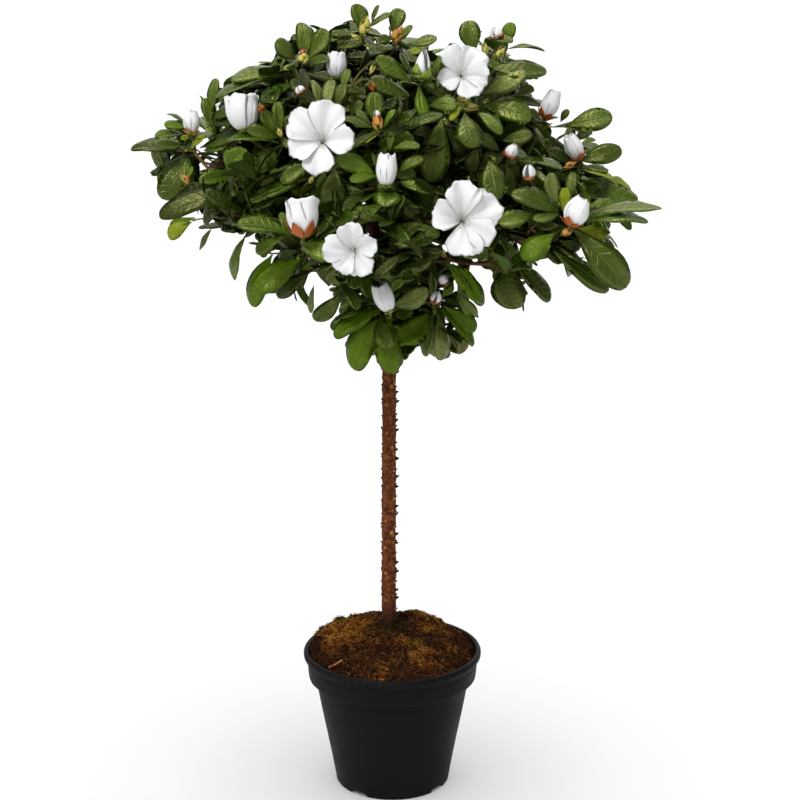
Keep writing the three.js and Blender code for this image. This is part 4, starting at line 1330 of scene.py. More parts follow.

# %% [markdown]
# ## Leaves
# An azalea leaf is a leathery blade, widest past its middle, with a sunken midrib, a few pairs
# of side veins and a fine pale edge, which is partly its own hairy margin and partly a painted
# highlight on the curled margin. The upper side is dark and half glossy, the lower side paler and
# duller. Each leaf is one thin closed sheet of a few dozen faces, cut to its own outline and bent
# along its midrib. All the leaves are worked out together as arrays, because every one differs,
# and the shader draws the veins from a map that runs along and across it.

# %% Leaf material


def leaf_group():
    tree, start = group_tree(
        "leaf_surface",
        "ShaderNodeTree",
        [
            ("Blade", "Vector"),
            ("Green", "Color"),
            ("Vein", "Color"),
            ("Vein strength", "Float"),
            ("Gloss", "Float"),
        ],
        [("Colour", "Color"), ("Height", "Float"), ("Roughness", "Float")],
    )
    parts = add(tree, "ShaderNodeSeparateXYZ", {"Vector": start["Blade"]})
    along = parts.outputs["X"]
    off = sums(tree, "ABSOLUTE", sums(tree, "MULTIPLY_ADD", parts.outputs["Y"], 2.0, -1.0))
    rib = ramp(tree, sums(tree, "MULTIPLY_ADD", along, 0.035, off), 0.10, 0.035)
    wave = sums(tree, "FRACT", sums(tree, "MULTIPLY_ADD", off, -1.35, sums(tree, "MULTIPLY", along, 8.0)))
    side = ramp(tree, sums(tree, "ABSOLUTE", sums(tree, "SUBTRACT", wave, 0.5)), 0.10, 0.0)
    side = sums(tree, "MULTIPLY", side, ramp(tree, off, 1.0, 0.55))
    # The pale rim is partly the leaf's own hairy margin and partly a painted highlight where the curled margin catches
    # light.
    edge = ramp(tree, off, 0.92, 0.97)
    inputs = {"Vector": start["Blade"], "Scale": 26.0}
    net = add(tree, "ShaderNodeTexVoronoi", inputs, feature="DISTANCE_TO_EDGE").outputs["Distance"]
    cloud = noise_at(tree, start["Blade"], 4.5, 3.0)
    tone = sums(tree, "MULTIPLY_ADD", cloud, 0.9, 0.55)
    green = add(tree, "ShaderNodeVectorMath", {0: start["Green"], "Scale": tone}, operation="SCALE").outputs[0]
    inner = sums(tree, "MAXIMUM", sums(tree, "MULTIPLY", side, 0.16), sums(tree, "MULTIPLY", rib, 0.62))
    lines = sums(tree, "MAXIMUM", inner, edge)
    shade = blend(tree, sums(tree, "MULTIPLY", lines, start["Vein strength"]), green, start["Vein"])
    dents = sums(tree, "MAXIMUM", rib, sums(tree, "MULTIPLY", side, 0.6))
    cells = sums(tree, "MULTIPLY", sums(tree, "MINIMUM", net, 0.3), 0.5)
    height = sums(tree, "SUBTRACT", cells, dents)
    dull = sums(tree, "MULTIPLY_ADD", cloud, 0.18, sums(tree, "SUBTRACT", start["Gloss"], 0.09))
    close_group(tree, Colour=shade, Height=height, Roughness=dull)
    return tree


LEAF_SURFACE = leaf_group()
print("leaf group has", len(LEAF_SURFACE.nodes), "nodes")

# %% Eight greens


def leaf_material(name, green, vein, strength, gloss, relief, specular):
    made, tree, shader = finish_material(name, gloss, specular, {"Specular Tint": colour(1.0, 1.0, 0.35)})
    blade = add(tree, "ShaderNodeUVMap", None, uv_map="blade").outputs[0]
    inputs = {"Blade": blade, "Green": green, "Vein": vein, "Vein strength": strength, "Gloss": gloss}
    node = add(tree, "ShaderNodeGroup", inputs, node_tree=LEAF_SURFACE)
    tree.links.new(node.outputs["Colour"], shader.inputs["Base Color"])
    tree.links.new(node.outputs["Roughness"], shader.inputs["Roughness"])
    bumped(tree, shader, node.outputs["Height"], 0.55, relief)
    return made


# name, blade, veins and strength of the gloss: eight plain greens, dealt out by spray. The first green is painted
# shade for leaves deep in the crown, the last is painted light for low outer leaves, and the sixth, a greyish green,
# is a painted sheen.
DEEP_PAINTED_SHADE, DARK, GREEN, FRESH, YELLOWED, SILVER_PAINTED_SHEEN, DAMAGED, LIT_PAINTED_LIGHT = range(8)
TINTS = [
    ("deep", colour(0.0105, 0.0220, 0.0011), colour(0.034, 0.053, 0.007), 0.50),
    ("dark", colour(0.0200, 0.0440, 0.0014), colour(0.074, 0.112, 0.013), 0.75),
    ("green", colour(0.033, 0.0710, 0.0018), colour(0.112, 0.170, 0.021), 0.90),
    ("fresh", colour(0.063, 0.1290, 0.0026), colour(0.170, 0.252, 0.030), 0.70),
    ("yellow", colour(0.175, 0.2150, 0.0085), colour(0.280, 0.320, 0.045), 0.40),
    ("silver", colour(0.064, 0.0900, 0.0170), colour(0.200, 0.250, 0.085), 1.0),
    ("damaged", colour(0.080, 0.0720, 0.0100), colour(0.170, 0.100, 0.030), 0.30),
    ("lit", colour(0.056, 0.1100, 0.0018), colour(0.120, 0.190, 0.014), 0.35),
]
leaf_paints = []
for label, green, vein, sheen in TINTS:
    leaf_paints.append(leaf_material("leaf_" + label, green, vein, 0.6, 0.26, 0.0008, sheen))
    pale = colour(*[0.55 * g + 0.45 * v for g, v in zip(green[:3], vein[:3])])
    leaf_paints.append(leaf_material("leaf_" + label + "_under", pale, vein, 0.5, 0.62, -0.0003, 0.1))
print(len(leaf_paints), "leaf finishes")

# %% Every leaf as a row of numbers
rows = []  # foot, tip, upper side, width, tint, placed one by one
WIDTH, TINT, PLACED = 9, 10, 11  # the columns after the three places


def across_of(way, preferred):
    """The direction nearest to preferred that is square to way."""
    flat = preferred - way * (way @ preferred)
    size = np.linalg.norm(flat)
    return flat / size if size > 1e-6 else unit(np.cross(way, (1, 0, 0.1)))


def add_leaf(foot, tip, upper, width, tint, placed):
    rows.append((*foot, *tip, *upper, width, tint, placed))


UP = np.array([0, 0, 1.0])
GOLDEN_TURN = 2.39996  # leaves and scales follow each other by this angle, in radians
for shoot in shoots:
    heart, way = shoot["tip"], shoot["way"]
    if shoot["leaves"] is not None:
        for foot, tip, (width, roll, tint) in shoot["leaves"]:
            line = unit(tip - foot)
            best_up = across_of(line, UP)
            side = np.cross(line, best_up)
            turn = math.radians(roll)
            upper = best_up * math.cos(turn) + side * math.sin(turn)
            add_leaf(foot, tip, upper, width, tint, 1)
        continue
    inside = shoot["kind"] != "skin"
    first = across_of(way, rng.normal(0, 1, 3))
    second = np.cross(way, first)
    count = int(rng.integers(6, 10)) if not inside else int(rng.integers(5, 8))
    droop = 0.10 + 0.55 * np.clip((475 - heart[2]) / 25, 0, 1)
    start_turn = rng.uniform(0, 6.28)
    tone = rng.random()
    # Leaves inside the crown take the darkest greens as painted shade, and most low outer leaves the brightest as
    # painted light.
    if inside:
        tint = DEEP_PAINTED_SHADE if heart[2] > 480 and (tone < 0.6 or shoot["kind"] != "under") else DARK
    else:
        low = heart[2] < HEART[2]
        tint = DARK if tone < 0.45 else GREEN if tone < 0.88 else FRESH
        if low and tone > 0.35:
            tint = LIT_PAINTED_LIGHT
    big = rng.uniform(34, 43)
    for j in range(count):
        turn = start_turn + j * GOLDEN_TURN + rng.normal(0, 0.18)
        age = j / max(count - 1, 1)
        lean = math.radians(38 + 52 * age**0.8 + rng.normal(0, 8))
        round_way = first * math.cos(turn) + second * math.sin(turn)
        aim = unit(way * math.cos(lean) + round_way * math.sin(lean) - UP * droop * age)
        size = big * (0.55 + 0.45 * min(1, age * 1.6)) * rng.uniform(0.88, 1.1)
        foot = heart - way * (1.5 + 5.5 * age)
        tip = foot + aim * size
        upper = across_of(aim, way * 0.75 + UP * 0.5 + rng.normal(0, 0.16, 3))
        one = tint
        if not inside and j < 2 and rng.random() < 0.16:
            one = YELLOWED
        # a few outer leaves change their green, some to the greyish one that is a painted sheen
        elif not inside and rng.random() < 0.14:
            one = int(rng.choice([DARK, GREEN, SILVER_PAINTED_SHEEN]))
        add_leaf(foot, tip, upper, size * rng.uniform(0.42, 0.5), one, 0)
rows = np.array(rows)
print(len(rows), "leaves before thinning")

# %% Leaves that would close an opening or cross the outline are left out
foot, tip = rows[:, :3], rows[:, 3:6]
line = unit(tip - foot)
broad = np.cross(rows[:, 6:9], line) * rows[:, WIDTH, None] * 0.45
places = [(0.04, 0), (0.2, -0.5), (0.2, 0.5), (0.2, 0), (0.4, -0.95), (0.4, -0.4), (0.4, 0.4), (0.4, 0.95)]
places += [(0.6, -1), (0.6, -0.4), (0.6, 0.4), (0.6, 1), (0.8, -0.8), (0.8, 0), (0.8, 0.8), (1, 0)]
marks = np.stack([foot + (tip - foot) * t + broad * s for t, s in places], 1)
bad = hidden_outside(marks, 3.0).any(1)
for kind, x, y, z, ax, ay, az, width, length in BLOOMS:
    way = unit((ax, ay, az))
    middle = np.array([x, y, z]) + way * length * 0.5
    gap = marks - middle
    toward = unit(EYE - middle)
    ahead = (gap @ toward)[..., None]
    beside = np.linalg.norm(gap - ahead * toward, axis=2)
    size = width * 0.5 if kind == "open" else max(width, length) * 0.5
    bad |= ((beside < size + 2) & (ahead[..., 0] > -size * 0.4)).any(1)
    bad |= (np.linalg.norm(gap, axis=2) < size * 0.9).any(1)
BOX_SLACK = 11
lowest, highest = np.array(model_box) / MM
bad |= (marks > highest + BOX_SLACK).any((1, 2)) | (marks < lowest - BOX_SLACK).any((1, 2))
keep_rows = rows[(rows[:, PLACED] == 1) | ~bad]
print(len(keep_rows), "leaves kept")

# %% Leaf blades
ALONG = np.array([0, 0.09, 0.24, 0.42, 0.6, 0.76, 0.885, 0.965, 1.0])
FINE_ALONG = np.array([0, 0.07, 0.18, 0.31, 0.45, 0.58, 0.70, 0.80, 0.88, 0.94, 0.98, 1.0])
ACROSS = np.array([-1, -0.52, 0, 0.52, 1.0])


def leaf_grids(table, rows):
    """Every leaf of the table as a grid of points, rows along it by ACROSS."""
    foot, tip, upper = (table[:, None, None, k : k + 3] for k in (0, 3, 6))
    width, each = table[:, None, None, WIDTH], (len(table), 1, 1)
    length = np.linalg.norm(tip - foot, axis=-1)
    line = (tip - foot) / length[..., None]
    side = np.cross(upper, line)
    sag = length * rng.uniform(0.02, 0.10, each)
    tip_curl = length * rng.normal(0.0, 0.03, each)
    skew = width * rng.normal(0, 0.10, each)
    fold = rng.uniform(-0.08, 0.34, each)
    twist = rng.normal(0, 0.16, each)
    fat = rng.uniform(1.15, 1.55, each)
    u, v = rows[None, :, None], ACROSS[None, None, :]
    bend = sag * 4 * u * (1 - u) + tip_curl * u**3
    share = np.clip(u, 0, 1) ** fat
    half = np.sin(math.pi * share)
    half = np.where(share > 0.5, np.abs(half) ** 0.42, np.abs(half) ** 0.78)
    half = np.maximum(half, 0.05 * (u < 0.5) + 0.012) * width / 2
    lift = half * (fold * np.abs(v) + 0.17 * np.sin(math.pi * np.abs(v)))
    lift = lift + half * 0.07 * np.sin(u * 11 + v * 2 + tip_curl * 9) * np.abs(v)
    angle, out = twist * (u - 0.3), half * v
    off_side = out * np.cos(angle) - lift * np.sin(angle) + skew * np.sin(math.pi * u)
    off_up = out * np.sin(angle) + lift * np.cos(angle) + bend
    place = foot + line * (length * u)[..., None]
    return place + side * off_side[..., None] + upper * off_up[..., None]


def bake_cells(slots, corners):
    """A second map in which each finish has one cell, shared by all leaves of that finish."""
    cells = np.asarray(slots)[:, None]
    x, y = (cells % 4) * 0.25, (cells // 4) * 0.25
    return np.stack([x + 0.005 + corners[..., 0] * 0.24, y + 0.005 + corners[..., 1] * 0.24], -1)


def leaf_piece(name, table, rows=ALONG):
    points, faces, corners, below = shells(leaf_grids(table, rows), 0.28)
    # the sheet map follows the real spacing of the rows and columns
    along = np.interp(corners[..., 0], np.linspace(0, 1, len(rows)), rows)
    across = np.interp(corners[..., 1], np.linspace(0, 1, len(ACROSS)), (ACROSS + 1) / 2)
    spread = np.stack([along, across], -1)
    count, size, _ = points.shape
    every = (faces[None] + np.arange(count)[:, None, None] * size).reshape(-1, 4)
    slots = (table[:, TINT].astype(int)[:, None] * 2 + below[None]).reshape(-1)
    blade = np.broadcast_to(spread[None], (count,) + spread.shape).reshape(-1, 4, 2)
    maps = {"blade": blade, "OFBake": bake_cells(slots, blade)}
    return mesh_piece(name, points.reshape(-1, 3) * MM, every, leaf_paints, slots, maps)


middle = (keep_rows[:, :3] + keep_rows[:, 3:6]) / 2
placed, front, left = keep_rows[:, PLACED] == 1, middle[:, 1] < -25, middle[:, 0] < 5
keep(leaf_piece("leaves_placed", keep_rows[placed], FINE_ALONG), "foliage", *masses)
groups = {"leaves_front": front, "leaves_back_left": ~front & left, "leaves_back_right": ~front & ~left}
for label, chosen in groups.items():
    keep(leaf_piece(label, keep_rows[chosen & ~placed]), "foliage", *masses)

# %% [markdown]
# ## White petals
# An open azalea flower is a funnel of five broad lobes that overlap, ruffled at the edge and
# notched at the tip. Before it opens, the petals are wrapped round each other like a loose cup.
# Both are whorls of the same thin sheet, bent in different ways, so one function makes them and
# gives every flower its own ruffles. The white is not flat: it is a little green in the throat and
# painted grey there as shade, and faint creases run out along each lobe, with painted shade along them.

# %% Petal and bud materials


def petal_group():
    tree, start = group_tree(
        "petal_surface",
        "ShaderNodeTree",
        [("Blade", "Vector"), ("Face", "Color"), ("Foot", "Color"), ("Foot end", "Float")],
        [("Colour", "Color"), ("Height", "Float")],
    )
    parts = add(tree, "ShaderNodeSeparateXYZ", {"Vector": start["Blade"]})
    along, across = parts.outputs["X"], parts.outputs["Y"]
    inputs = {"X": sums(tree, "MULTIPLY", along, 1.6), "Y": sums(tree, "MULTIPLY", across, 9.0)}
    crease = noise_at(tree, add(tree, "ShaderNodeCombineXYZ", inputs).outputs[0], 1.7, 4.0)
    # the foot colour blends in towards the foot of each sheet; in the open flower it is a grey painted shade in the
    # throat
    foot = ramp(tree, along, start["Foot end"], 0.0)
    tinted = blend(tree, foot, start["Face"], start["Foot"])
    # the colour is darker and lighter along the creases: painted shade and light of the folds
    inputs = {0: tinted, "Scale": sums(tree, "MULTIPLY_ADD", crease, 0.16, 0.92)}
    crease_shaded_colour = add(tree, "ShaderNodeVectorMath", inputs, operation="SCALE").outputs[0]
    close_group(tree, Colour=crease_shaded_colour, Height=crease)
    return tree


PETAL_SURFACE = petal_group()


def petal_material(name, face, foot, foot_end, roughness, relief):
    made, tree, shader = finish_material(name, roughness, 0.3)
    blade = add(tree, "ShaderNodeUVMap", None, uv_map="blade").outputs[0]
    inputs = {"Blade": blade, "Face": face, "Foot": foot, "Foot end": foot_end}
    node = add(tree, "ShaderNodeGroup", inputs, node_tree=PETAL_SURFACE)
    tree.links.new(node.outputs["Colour"], shader.inputs["Base Color"])
    bumped(tree, shader, node.outputs["Height"], 0.5, relief)
    return made


bloom_paints = [
    # the open petal's foot colour is grey: painted shade in the throat, with a faint green of its own
    petal_material("white_petal", colour(0.695, 0.695, 0.70), colour(0.50, 0.51, 0.48), 0.30, 0.65, 0.0016),
    petal_material("white_petal_bud", colour(0.735, 0.735, 0.74), colour(0.55, 0.52, 0.38), 0.16, 0.55, 0.0014),
    petal_material("rust_scale", colour(0.35, 0.080, 0.009), colour(0.34, 0.12, 0.02), 0.4, 0.45, 0.0005),
    petal_material("orange_scale", colour(0.50, 0.205, 0.045), colour(0.38, 0.29, 0.04), 0.5, 0.45, 0.0004),
    petal_material("yellow_scale", colour(0.62, 0.52, 0.12), colour(0.30, 0.36, 0.05), 0.5, 0.45, 0.0004),
    petal_material("sepal_green", colour(0.20, 0.27, 0.03), colour(0.10, 0.16, 0.02), 0.5, 0.45, 0.0004),
    petal_material("anther", colour(0.20, 0.16, 0.12), colour(0.26, 0.22, 0.18), 0.5, 0.7, 0.0001),
    petal_material("filament", colour(0.74, 0.76, 0.70), colour(0.6, 0.66, 0.5), 0.3, 0.5, 0.0001),
    petal_material("rose_tip", colour(0.50, 0.10, 0.07), colour(0.5, 0.3, 0.1), 0.3, 0.5, 0.0004),
]
PETAL, BUD_PETAL, RUST, ORANGE, YELLOW, SEPAL, ANTHER, FILAMENT, ROSE = range(9)
print(len(bloom_paints), "petal and bud finishes")

# %% Lobes of an open flower


def turned(points, foot, way, spin=0.0):
    """Local points with z along the flower, moved to its foot and turned to its way."""
    way = unit(np.asarray(way, float))
    first = across_of(way, UP + np.array([0.01, 0.02, 0]))
    second = np.cross(way, first)
    a, b = first * math.cos(spin) + second * math.sin(spin), second * math.cos(spin) - first * math.sin(spin)
    return np.asarray(foot, float) + points[..., 0:1] * a + points[..., 1:2] * b + points[..., 2:3] * way


def sheet_grid(rows, columns):
    return np.linspace(0, 1, rows)[:, None], np.linspace(-1, 1, columns)[None, :]


def polar(angle, radius, height):
    return np.stack([radius * np.cos(angle), radius * np.sin(angle), height + 0 * angle], -1)


def lobe_sheet(bearing, reach, length, layer):
    """One lobe of an open flower, from the bottom of the funnel out to its ruffled end."""
    u, v = sheet_grid(15, 15)
    a, b, c, d = rng.uniform(0, 6.28, 4)
    side = np.radians(45 - rng.uniform(4, 9) * u**3)
    ruffle = 0.6 * np.sin(5 * v + a) + 0.45 * np.sin(10.5 * v + b) + 0.35 * np.sin(19 * v + c)
    span = 1 - rng.uniform(0.17, 0.25) * np.abs(v) ** 2.8 * u**2 + 0.048 * ruffle * u**3
    radius = 0.3 + (reach - 0.3) * u**0.92 * span
    share = np.clip(radius / 24, 0, 1)
    margin = np.maximum(np.abs(v) ** 2, u**3) * u
    height = length * (1 - (1 - share) ** 2.5) + layer * share
    height = height + reach * (rng.uniform(-0.04, 0.12) * v**2 + 0.035 * v) * u
    height = height + reach * 0.085 * margin * (np.sin(4.2 * v + d + u) + 0.6 * np.sin(9 * v + a + 2 * u))
    height = height - reach * 0.055 * np.exp(-((v / 0.2) ** 2)) * np.sin(math.pi * u)
    height = height + reach * 0.055 * np.sin(2.8 * v + b) * u
    height = height + reach * 0.014 * np.sin(13 * v + c + 1.5 * u) * u**2
    height = height - reach * rng.uniform(0.0, 0.4) * np.clip(u - 0.5, 0, 1) ** 1.5
    return polar(math.radians(bearing) + side * v, radius, height)


LOBE_LAYERS = (0.7, 1.2, 0.5, -0.6, 0.0)  # how far each lobe stands above or below the next


def open_sheets(width, length, lobes=None):
    """Five overlapping lobes, each given by its bearing and its reach in millimetres."""
    if lobes is None:
        lobes = [(72 * k + rng.normal(0, 5), width / 2 * rng.uniform(0.86, 1.12)) for k in range(5)]
    sheets = [lobe_sheet(turn, reach, length, layer) for (turn, reach), layer in zip(lobes, LOBE_LAYERS)]
    return np.array(sheets)


print("an open flower has", len(LOBE_LAYERS), "lobes")

# %% Petals of a cup and scales of a bud


def wall(u, closing):
    """Radius of a cup or bud at a share of its height, for half a width of 1."""
    cup = 0.06 + 0.94 * np.sin(math.pi / 2 * np.clip(u / 0.62, 0, 1)) ** 0.55
    bud = np.sin(math.pi * np.clip(u, 0, 1) ** 0.80 * 0.93 + 0.16) ** 0.85
    return cup * (1 - closing) + bud * closing


def cup_sheets(width, length, closing, count=5):
    """Broad petals wrapped round each other: closing 0 is an open cup, 1 a pointed bud."""
    u, v = sheet_grid(13, 13)
    first, second, third, *grooves = rng.uniform(0, 6.28, 6)
    grids = []
    for k in range(count):
        a, b, c = rng.uniform(0, 6.28, 3)
        half = math.radians(rng.uniform(58, 70)) * (1 + 0.06 * np.sin(5 * u + a))
        angle = math.radians(144 * k + rng.normal(0, 6)) + half * v + rng.uniform(-0.35, 0.35) * (u - 0.4)
        radius = width / 2 * wall(u, closing) * (1 - 0.009 * k)
        # the creases go by the bearing round the cup, so that overlapping petals lie flush
        creases = 0.020 * np.sin(3 * angle + first + 2 * u) + 0.016 * np.sin(8 * angle + second - 2 * u)
        for groove in grooves:
            deep = np.exp(-34 * (1 - np.cos(angle - groove - 0.45 * u)))
            creases = creases - 0.050 * deep * np.clip(1.25 - u, 0, 1)
        creases = creases + 0.035 * np.sin(9 * angle + third) * np.exp(-(((u - 0.14) / 0.12) ** 2))
        out = 0.10 * rng.uniform(-0.4, 1.3) * np.clip(u - 0.8, 0, 1) * 5 * (0.3 + np.abs(v))
        radius = radius * (1 + 0.014 * v + creases + out)
        ragged = 0.030 * (np.sin(6 * v + b) + 0.6 * np.sin(13 * v + c))
        ends = 1 - 0.05 * np.abs(v) ** 3 + ragged - 0.10 * rng.random()
        grids.append(polar(angle, np.maximum(radius, 0.25), length * u * (1 + (ends - 1) * u**2)))
    return np.array(grids)


def scale_grids(count, width, length, rows=7, columns=5, spread=62, lift=0.0):
    """Pointed scales that overlap up a bud in a spiral."""
    u, v = sheet_grid(rows, columns)
    grids = []
    for j in range(count):
        start = 0.62 * j / count
        end = min(1.0, start + 0.50 + 0.12 * rng.random())
        z = start + (end - start) * u * (1 - 0.10 * v * v)
        body = np.sin(math.pi * np.clip(z, 0.0, 1.0) ** 0.8 * 0.96 + 0.08) ** 0.75
        out = width / 2 * body * (1 - 0.10 * j / count) + (1 - j / count) * 0.35 + lift * u**2
        narrow = (1 - u**2.2) * 0.98 + 0.02
        angle = GOLDEN_TURN * j + v * math.radians(spread) * narrow
        grids.append(polar(angle, np.maximum(out, 0.12), z * length))
    return np.array(grids)


print("a cup's wall at half height:", round(float(wall(0.5, 0.0)), 2))

# %% Heaps of sheets and threads


class Heap:
    """Collects whorls of thin closed sheets, so that a whole kind becomes one mesh."""

    def __init__(self):
        self.points, self.faces, self.slots, self.maps, self.count = [], [], [], [], 0

    def sheets(self, grids, foot, way, paint, thickness=0.22, spin=0.0):
        points, faces, corners, _ = shells(turned(grids, foot, way, spin), -thickness)
        shapes, size, _ = points.shape
        shift = self.count + np.arange(shapes)[:, None, None] * size
        self.points.append(points.reshape(-1, 3))
        self.faces.append((faces[None, :, ::-1] + shift).reshape(-1, 4))
        self.slots.append(np.full(shapes * len(faces), paint))
        self.maps.append(np.tile(corners[:, ::-1].reshape(-1, 2), (shapes, 1)))
        self.count += shapes * size

    def piece(self, name, materials):
        points, faces, slots, blade = (np.concatenate(a) for a in (self.points, self.faces, self.slots, self.maps))
        return mesh_piece(name, points * MM, faces, materials, slots, {"blade": blade})


opened, opening, budded = Heap(), Heap(), Heap()
strand_points, strand_faces, strand_slots = [], [], []


def strand(points, sizes, foot, way, paint, spin=0.0, sides=5):
    """A thin round thread, kept for the mesh of all the stamens."""
    rings, _ = sweep(points, sizes, sides)
    start = sum(len(part) for part in strand_points)
    strand_points.append(turned(np.concatenate([rings.reshape(-1, 3), points[:1], points[-1:]]), foot, way, spin))
    faces = tube_faces(len(points), sides, start)
    strand_faces.extend(faces)
    strand_slots.extend([paint] * len(faces))


print("heaps ready for open flowers, opening flowers and buds")

# %% Whole flowers and buds


def make_open(foot, way, width, length, lobes=None):
    spin = rng.uniform(0, 6.28) if lobes is None else 0.0
    opened.sheets(open_sheets(width, length, lobes), foot, way, PETAL, 0.24, spin)
    opened.sheets(scale_grids(5, 4.5, 5, rows=5, spread=50), foot - unit(way) * 3.5, way, SEPAL, 0.2, spin)
    for k in range(5):
        side = 2 * math.pi * k / 5 + rng.normal(0, 0.3)
        far = width * rng.uniform(0.06, 0.17) * (1.3 if k == 0 else 1)
        t = np.linspace(0, 1, 6)[:, None]
        x, y = far * t**1.3 * math.cos(side) - 0.06 * width * t**2, far * t**1.3 * math.sin(side)
        sweep_out = np.concatenate([x, y, 2 + (length + width * 0.08) * t**0.9], 1)
        strand(sweep_out, np.full(6, 0.16), foot, way, FILAMENT, spin)
        knob = sweep_out[-1] + np.array([[0, 0, -0.6], [0, 0, 0], [0, 0, 0.6]])
        strand(knob, np.array([0.2, 0.42, 0.2]), foot, way, ANTHER if k else FILAMENT, spin)


def make_cup(foot, way, width, length, calyx, closing=0.10, high=0.3):
    spin = rng.uniform(0, 6.28)
    opening.sheets(cup_sheets(width, length, closing), foot, way, BUD_PETAL, 0.3, spin)
    inner = cup_sheets(width * 0.66, length * 0.95, max(closing, 0.35), 3)
    opening.sheets(inner, foot, way, BUD_PETAL, 0.3, spin + 0.6)
    u, v = sheet_grid(7, 7)
    grids = []
    for k in range(5):
        tall = length * high * rng.uniform(0.65, 1.3)
        wide = math.radians(rng.uniform(30, 46))
        z = tall * u * (1 - 0.12 * v * v + 0.05 * np.sin(5 * v + k))
        body = width / 2 * wall(z / length, closing) + 0.8 + rng.uniform(0.2, 1.8) * u**3
        angle = 2 * math.pi * k / 5 + 0.3 + v * wide * (1.02 - u**2.2)
        grids.append(polar(angle, body * np.minimum(1, 0.3 + u * 3), z - 1.0))
    opening.sheets(np.array(grids), foot, way, calyx, 0.35, spin)


def make_small(foot, way, width, length, calyx=RUST):
    petals = cup_sheets(width, length, 0.85, 3)[:, ::2, ::2]
    budded.sheets(petals, foot, way, BUD_PETAL, 0.25, rng.uniform(0, 6.28))
    scales = scale_grids(5, width * 1.1, length * 0.5, rows=5, spread=52)
    budded.sheets(scales, foot, way, calyx, 0.2, rng.uniform(0, 6.28))


def make_scaly(foot, way, width, length, paint, tip=None):
    scales = scale_grids(6, width * 0.82, length, spread=54)
    budded.sheets(scales, foot, way, paint, 0.22, rng.uniform(0, 6.28))
    if tip is not None:
        petals = cup_sheets(width * 0.55, length * 0.36, 0.9, 3)[:, ::2, ::3]
        budded.sheets(petals, foot + unit(way) * length * 0.70, way, tip, 0.2)


# Bearing from straight up and reach of each lobe, for the open flowers that are placed one by one.
LOBES = [
    ((55, 28.4), (-12, 28.0), (-92, 24.0), (174, 26.4), (112, 24.6)),
    ((-63, 28.4), (2, 28.0), (78, 24.0), (180, 26.8), (-128, 25.0)),
    ((-38, 22.4), (30, 22.0), (115, 19.4), (-158, 20.8), (-100, 19.8)),
    ((83, 21.6), (7, 20.6), (-68, 18.0), (-148, 19.6), (145, 18.2)),
]


# kind: calyx, how far it is closed, and the share of its length that the calyx covers
CUPS = {"cup_rust": (RUST, 0.0, 0.42), "cup_gold": (ORANGE, 0.5, 0.2), "point": (RUST, 0.5, 0.28)}


def make(kind, foot, way, width, length):
    if kind == "open":
        make_open(foot, way, width, length, LOBES.pop(0) if LOBES else None)
    elif kind == "cup":
        make_cup(foot, way, width, length, SEPAL, 0.04 if width > 20 else 0.26, 0.08)
    elif kind in CUPS:
        make_cup(foot, way, width, length, *CUPS[kind])
    elif kind == "small":
        make_small(foot, way, width, length)
    elif kind == "sheathed":
        make_small(foot, way, width, length, SEPAL)
        scales = scale_grids(6, width * 1.25, length * 0.7, rows=6, spread=46, lift=1.0)
        budded.sheets(scales, foot, way, SEPAL, 0.25)
    else:
        paint = {"yellow": YELLOW, "orange": ORANGE, "rust": RUST}[kind.split("_")[0]]
        tip = {"white": BUD_PETAL, "red": ROSE}.get(kind.split("_")[-1])
        make_scaly(foot, way, width, length, paint, tip)


print("kinds of cup and bud:", ", ".join(CUPS))

# %% Flowers and buds on their stalks
wood_spots = np.concatenate([path[2:] for path, _, _ in twigs])
wood_ways = np.concatenate([unit(np.gradient(path, axis=0))[2:] for path, _, _ in twigs])
stalk_paths, stalk_sizes, stalk_ages = [], [], []


def stalk(foot, way, thick):
    """A short stalk from the nearest twig behind a flower to its foot."""
    gap = np.asarray(foot) - wood_spots
    length = np.linalg.norm(gap, axis=1)
    ahead = 60.0 * (gap[:, 1] > -4) * (foot[1] < 0)
    nearest = int((length * (1.6 - 0.6 * (gap @ way) / np.maximum(length, 1e-6)) + ahead).argmin())
    start, heading, length = wood_spots[nearest], wood_ways[nearest], length[nearest]
    t = np.linspace(0, 1, 8)[:, None]
    b, c = start + heading * length * 0.4, foot + unit(np.array([0, 0.9, -0.1]) * (foot[1] < 20) - way) * length * 0.5
    path = cubic(t, start, b, c, foot + way * 0.6)
    stalk_paths.append(path * MM)
    stalk_sizes.append(np.linspace(0.8, thick, 8) * MM)
    stalk_ages.append(np.linspace(0.25, 0.0, 8))


for kind, x, y, z, ax, ay, az, width, length in BLOOMS:
    foot, way = np.array([x, y, z], float), unit(np.array([ax, ay, az], float))
    stalk(foot, way, 1.1 if kind in ("open", "cup", "cup_rust", "point", "cup_gold") else 0.8)
    make(kind, foot, way, width, length)
print(len(stalk_paths), "stalks")

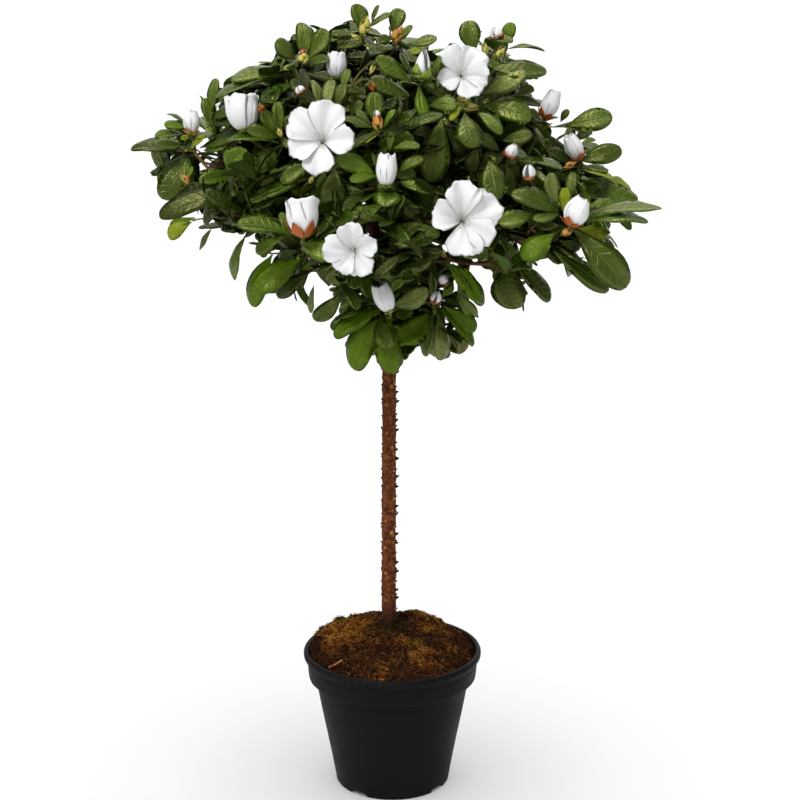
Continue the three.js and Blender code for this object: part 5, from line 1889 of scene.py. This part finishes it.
# %% Flowers and buds by the growing rule
outer_shoots = [s for s in shoots if s["kind"] == "skin" and s["tip"][2] > 450 and s["tip"][1] > 22]
outer_shoots = [s for s in outer_shoots if s["way"][1] > -0.25]
order = rng.permutation(len(outer_shoots))
NUMBERS = {"open": 6, "cup": 5, "cup_rust": 3, "point": 5, "small": 9}
NUMBERS.update({"orange_white": 6, "yellow": 10, "orange_red": 5})
used = [np.array(row[1:4], float) for row in BLOOMS if row[0] in ("open", "cup", "cup_rust", "point")]
made_up = []
for kind in (kind for kind, number in NUMBERS.items() for _ in range(number)):
    for i in order:
        shoot = outer_shoots[i]
        gap = 58 if kind == "open" else 36 if kind in ("cup", "cup_rust", "point") else 20
        if "bloom" in shoot or min(np.linalg.norm(shoot["tip"] - p) for p in used) < gap:
            continue
        shoot["bloom"] = kind
        used.append(shoot["tip"])
        way = unit(shoot["way"] + rng.normal(0, 0.12, 3))
        sizes = {
            "open": (rng.uniform(44, 54), 15),
            "cup": (rng.uniform(17, 26), rng.uniform(25, 32)),
            "cup_rust": (rng.uniform(17, 26), 29),
            "point": (15, 25),
            "small": (9.5, 12),
        }
        width, length = sizes.get(kind, (rng.uniform(7, 9.5), rng.uniform(11, 16)))
        out = {"open": 14, "cup": 8, "cup_rust": 8, "point": 8, "small": 7}.get(kind, 2)
        foot = shoot["tip"] + way * out
        if hidden_outside((foot + way * length)[None], -(width / 2 + 8))[0]:
            continue
        stalk(foot, way, 1.0)
        make(kind, foot, way, width, length)
        made_up.append(kind)
        break
print("flowers and buds by rule:", {k: made_up.count(k) for k in dict.fromkeys(made_up)})

# %% Resting buds at the heart of the other shoots
plain = scale_grids(4, 3.2, 8, rows=4, columns=4, spread=66)
for shoot in shoots:
    if shoot["kind"] in ("skin", "placed") and "bloom" not in shoot:
        gap = min(np.linalg.norm(shoot["tip"] - np.array(row[1:4])) for row in BLOOMS)
        if gap > 9:
            scales, way = plain * rng.uniform(0.7, 1.1), shoot["way"]
            paint = SEPAL if rng.random() < 0.6 else YELLOW
            budded.sheets(scales, shoot["tip"] - way, way, paint, 0.2, rng.uniform(0, 6))

for label, heap in (("open_flowers", opened), ("opening_flowers", opening), ("flower_buds", budded)):
    keep(heap.piece(label, bloom_paints), "foliage", *masses)
corner_count = sum(len(face) for face in strand_faces)
points, maps = np.concatenate(strand_points) * MM, {"blade": np.full((corner_count, 2), 0.6)}
stamens = mesh_piece("stamens", points, strand_faces, bloom_paints, strand_slots, maps)
keep(stamens, "foliage", *masses)
base = chains("base", stalk_paths, stalk_sizes, stalk_ages)
keep(grow("flower_stalks", base, LIMBS, Sides=6, Finish=limb_bark), "young_bark", *masses)

# %% [markdown]
# ## Faces in all
# The faces of every shown piece are counted and printed. The finished shrub must stay within
# the imported model's box, apart from a small allowance.

# %% Faces in all
total = sum(len(o.data.polygons) for o in scene.objects if o.type == "MESH" and not o.hide_render)
print("faces in all:", total)
